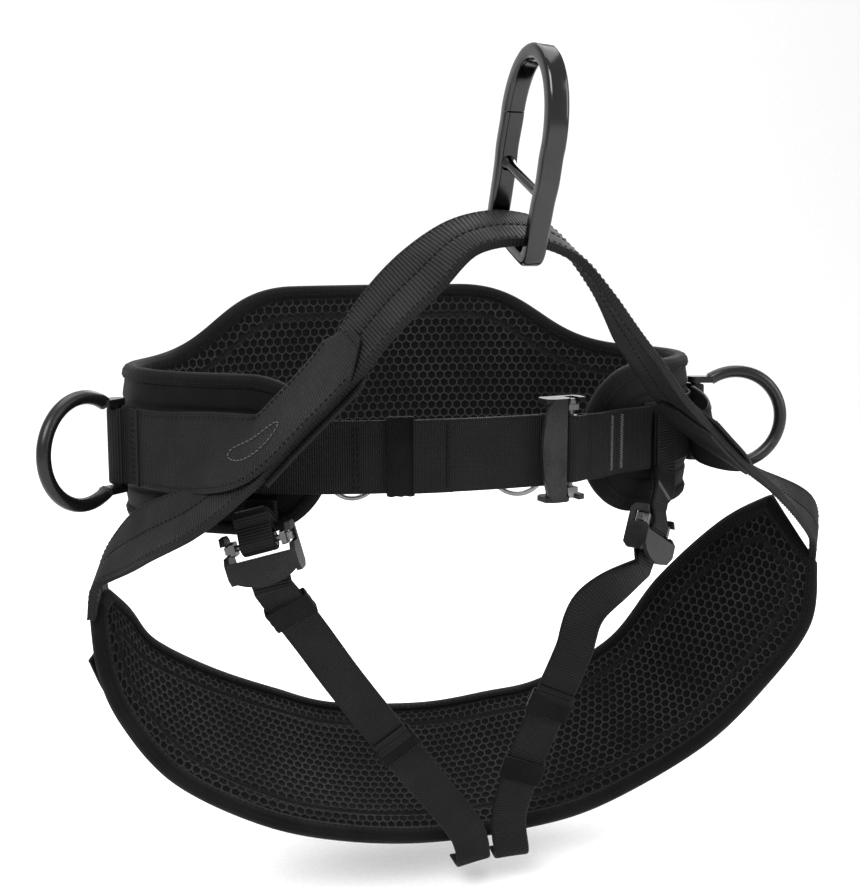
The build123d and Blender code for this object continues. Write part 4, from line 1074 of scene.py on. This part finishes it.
left_sleeve, _ = sleeve("left", 5.35, 7.66, [(-72, 0.0042), (-66, 0.0055), (-60, 0.009)], (0, 0, 0), 1)
right_sleeve, _ = sleeve("right", 16.15, 15.0, [(76, 0.0045), (70, 0.007), (64, 0.011)], (0, 0, 0), 1)
for side, path in (("left", left_sleeve), ("right", right_sleeve)):
    L = path.length
    sg = 1 if path.n[-1] @ np.array([-0.3, -0.8, 0.3]) > 0 else -1
    segs = []
    for x in (-0.0215, 0.0215):
        segs += stitch_line(path, x, 0.004, L - 0.018, sg * 0.0012)
    s_tip = np.linspace(-0.021, 0.021, 24)
    pts, nn = zip(*[(path.at(L - 0.004, x * 0.55, sg * 0.0012)[0][0], path.at(L - 0.004, x, 0)[1][0] * sg) for x in s_tip])
    segs += run_segments(np.array(pts), np.array(nn))
    threads(f"sleeve_{side}_stitches", segs, "belt")
    if side == "left":
        q = np.linspace(0, 2 * np.pi, 90)
        s_mid, a, b = L - 0.090, 0.0215, 0.0065
        loop = [path.at(s_mid + math.cos(k) * a, math.sin(k) * b - 0.001, sg * 0.0012) for k in q]
        segs = run_segments(np.array([v[0][0] for v in loop]), np.array([v[1][0] * sg for v in loop]), 0.0024, 0.0008)
        threads("sleeve_left_oval_stitches", segs, "belt", "thread_grey", 0.00036)

# ---- side keepers and gear tabs ---------------------------------------------------------
for side, heading in (("left", -80.0), ("right", 84.0)):
    out = belt_out(heading)
    lvl = np.cross(UP, out)
    o = belt_point(heading, 0.0092)
    r = 0.0035 + 0.00025 + WEB / 2
    lay = -0.0092 + 0.0003 + WEB + 0.0003 + WEB / 2
    pts = [o + lvl * x + out * lay for x in np.linspace(-0.020, -0.0075, 8)]
    pts += [o + lvl * (-r - 0.0012) * math.cos(q) + out * (math.sin(q) * r + (lay * 0.4 if abs(q) < 0 else 0))
            for q in np.radians(np.linspace(-20, 200, 40))]
    pts += [o + lvl * x + out * lay for x in np.linspace(0.0075, 0.020, 8)]
    pts = np.array(pts)
    for _ in range(2):
        pts[1:-1] = pts[1:-1] * 0.5 + (pts[:-2] + pts[2:]) * 0.25
    p = Path(pts, np.tile(UP, (len(pts), 1)))
    strip(f"side_fold_{side}", p, 0.049, WEB, MAT["side"], "belt", pitch=0.0016, rib=0.00012,
          replaces=[f"side_keeper_{side}"])
    sg = 1 if p.n[2] @ out > 0 else -1
    segs = []
    for s0 in (0.003, 0.0065, p.length - 0.0065, p.length - 0.003):
        xs = np.linspace(-0.021, 0.021, 18)
        segs += run_segments(np.array([p.at(s0, x, sg * 0.0012)[0][0] for x in xs]), np.tile(out, (18, 1)))
    threads(f"side_fold_{side}_stitches", segs, "belt")

for name, heading in (("left", -147.0), ("middle", 184.0), ("right", 147.0)):
    out = belt_out(heading)
    o = belt_point(heading, 0.0094, -0.033)
    r = 0.002 + 0.00025 + WEB / 2
    pts = [o + out * (-0.0058 + 0.0002) + UP * z for z in np.linspace(0.024, 0.006, 10)]
    pts += [o + out * math.cos(q) * r + UP * math.sin(q) * r for q in np.radians(np.linspace(215, 495, 40))]
    pts += [o + out * (-0.0032) + UP * z for z in np.linspace(0.006, 0.024, 10)]
    pts = np.array(pts)
    for _ in range(3):
        pts[1:-1] = pts[1:-1] * 0.5 + (pts[:-2] + pts[2:]) * 0.25
    lvl = np.cross(UP, out)
    p = Path(pts, np.tile(lvl, (len(pts), 1)))
    strip(f"gear_tab_web_{name}", p, 0.022, 0.0020, MAT["leg"], "belt", replaces=[f"gear_tab_{name}"])
    top = Path([o + out * (-0.0021) + UP * z for z in (0.008, 0.016, 0.024)], np.tile(lvl, (3, 1)))
    sg = 1 if top.n[0] @ out > 0 else -1
    threads(f"gear_tab_bartack_{name}", bartack(top, 0.008, -0.009, 0.009, 0.0001 * sg, pitch=0.0012, height=0.0035), "belt")

# ---- bridge ring ------------------------------------------------------------------------
yaw, lean = math.radians(2.0), math.radians(22.0)
r_side = np.array([math.sin(yaw) * math.cos(lean), -math.cos(yaw) * math.cos(lean), -math.sin(lean)])
r_up = np.array([math.sin(yaw) * math.sin(lean), -math.cos(yaw) * math.sin(lean), math.cos(lean)])
r_o = bp[11] - r_up * (0.0025 + 0.0045 + 0.0006)
r_n = np.cross(r_side, r_up)
SLOT, EYE, BAR = 0.024, 0.025, 0.009
eye_low = BAR / 2 + 0.029 + 0.006
arc_low = eye_low + 0.063 - EYE
crown_y = eye_low + 0.063 + BAR / 2
wide_y = eye_low + 0.026
half_side = [(0.0, 0.0), (SLOT - 0.004, 0.0), (SLOT + 0.002, 0.0009), (SLOT + BAR / 2, 0.006),
             (SLOT + BAR / 2 + 0.0002, 0.016), (SLOT + BAR / 2 + 0.0008, eye_low - 0.006),
             (SLOT + BAR / 2 + 0.0022, eye_low + 0.006), (EYE + BAR / 2 + 0.0006, wide_y - 0.006),
             (EYE + BAR / 2 + 0.0010, wide_y)]
key = np.array(half_side)
dense = smooth(key, np.linspace(0, len(key) - 1, 110))
bow_a = np.radians(np.linspace(0, 90, 44)[1:])
bow = np.stack([np.cos(bow_a) * (EYE + BAR / 2 + 0.0010), wide_y + np.sin(bow_a) * (crown_y - wide_y)], 1)
right_half = np.concatenate([dense, bow])
loop = np.concatenate([right_half, (right_half * [-1, 1])[::-1][1:-1]])
c3 = r_o + loop[:, :1] * r_side + loop[:, 1:] * r_up
tan = unit(np.roll(c3, -1, 0) - np.roll(c3, 1, 0))
inw = np.cross(r_n, tan)
a_, b_, bev = BAR / 2, 0.006, 0.0026
corner = np.radians(np.linspace(0, 90, 6))
prof = []
for sx, sy, flip in ((1, 1, 0), (-1, 1, 1), (-1, -1, 0), (1, -1, 1)):
    pts = [(sx * (a_ - bev + bev * math.cos(q)), sy * (b_ - bev + bev * math.sin(q))) for q in corner]
    prof += pts[::-1] if flip else pts
prof = np.array(prof)
swell = 1 + 0.08 * np.sin(np.clip((loop[:, 1] - eye_low) / 0.07, 0, 1) * np.pi)
v = c3[:, None, :] + inw[:, None, :] * (prof[None, :, 0] * swell[:, None])[..., None] + r_n[None, None, :] * prof[None, :, 1, None]
n_, m_ = len(c3), len(prof)
faces = grid_faces(n_, m_, closed=True)
last = (n_ - 1) * m_
faces = np.concatenate([faces, np.stack([last + np.arange(m_), last + (np.arange(m_) + 1) % m_,
                                         (np.arange(m_) + 1) % m_, np.arange(m_)], -1)])
verts = list(v.reshape(-1, 3))
bar_y = eye_low - 0.003
base = len(verts)
ang = np.linspace(0, 2 * np.pi, 28, endpoint=False)
xs = np.linspace(-(SLOT + 0.003), SLOT + 0.003, 25)
for x in xs:
    rr = 0.003 + 0.0016 * ease(abs(x), SLOT - 0.004, SLOT + 0.002)
    verts.extend(r_o + r_side * x + r_up * (bar_y + math.cos(q) * rr) + r_n * math.sin(q) * rr for q in ang)
bar_faces = (grid_faces(len(xs), 28, closed=True) + base).tolist()
bar_faces += [[base + j for j in range(28)][::-1], [base + 24 * 28 + j for j in range(28)]]
ring = mesh_object("bridge_ring_forged", verts, list(faces) + bar_faces, MAT["ring"], "bridge_ring")
bm = bmesh.new()
bm.from_mesh(ring.data)
bmesh.ops.recalc_face_normals(bm, faces=bm.faces)
bm.to_mesh(ring.data)
bm.free()
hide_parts("bridge_ring")

# ---- carried-over metal -----------------------------------------------------------------
for name, ob in nodes.items():
    if ob.hide_render:
        continue
    kind = "black_metal"
    if "latch" in name:
        kind = "silver"
    elif "springs" in name:
        kind = "spring"
    elif name.startswith("side_ring"):
        kind = "ring_black"
    elif name.startswith("gear_ring"):
        kind = "wire"
    for k in range(len(ob.material_slots)):
        ob.material_slots[k].material = MAT[kind]

# ---- studio -----------------------------------------------------------------------------
floor_z = cad_box[0][2] - 0.02


def studio():
    m = Nodes("studio_paper")
    fine = m.noise(260, 4)
    m.finish(m.mix(m.span(fine, 0.3, 0.7), (0.86, 0.86, 0.86), (0.90, 0.90, 0.90)), 0.85, m.bump(fine, 0.0002, 0.2),
             specular=0.1)
    prof = [(-3.0, 0.0)] + [(y, 0.0) for y in np.linspace(-2.5, 2.0, 12)] \
        + [(2.0 + 1.5 * math.sin(q), 1.5 - 1.5 * math.cos(q)) for q in np.radians(np.linspace(6, 90, 15))] + [(3.5, 6.0)]
    verts, faces = [], []
    for x in (-6.0, 6.0):
        verts += [(x, y, floor_z + z) for y, z in prof]
    k = len(prof)
    faces = [(i, i + 1, k + i + 1, k + i) for i in range(k - 1)]
    me = bpy.data.meshes.new("studio_backdrop")
    me.from_pydata(verts, [], faces)
    me.polygons.foreach_set("use_smooth", [True] * len(me.polygons))
    ob = bpy.data.objects.new("studio_backdrop", me)
    me.materials.append(m.mat)
    scene.collection.objects.link(ob)


studio()


def area(name, at, aim, size, power):
    d = bpy.data.lights.new(name, "AREA")
    d.shape = "RECTANGLE"
    d.size, d.size_y = size
    d.energy = power
    ob = bpy.data.objects.new(name, d)
    ob.location = at
    ob.rotation_euler = (Vector(aim) - Vector(at)).to_track_quat("-Z", "Y").to_euler()
    scene.collection.objects.link(ob)


area("key", (-1.2, -1.6, 1.5), (0, 0, 0), (1.4, 1.2), 60)
area("fill", (1.7, -1.3, 0.7), (0, 0, -0.05), (1.2, 1.4), 26)
area("top", (0.1, 0.3, 2.0), (0, 0, 0), (1.8, 1.8), 34)
area("rim", (0.9, 1.5, 1.0), (0, 0, 0), (1.2, 1.0), 20)
world = bpy.data.worlds.new("studio_world")
world.use_nodes = True
world.node_tree.nodes["Background"].inputs[0].default_value = (1, 1, 1, 1)
world.node_tree.nodes["Background"].inputs[1].default_value = 0.85
scene.world = world
scene.view_settings.view_transform = "Standard"
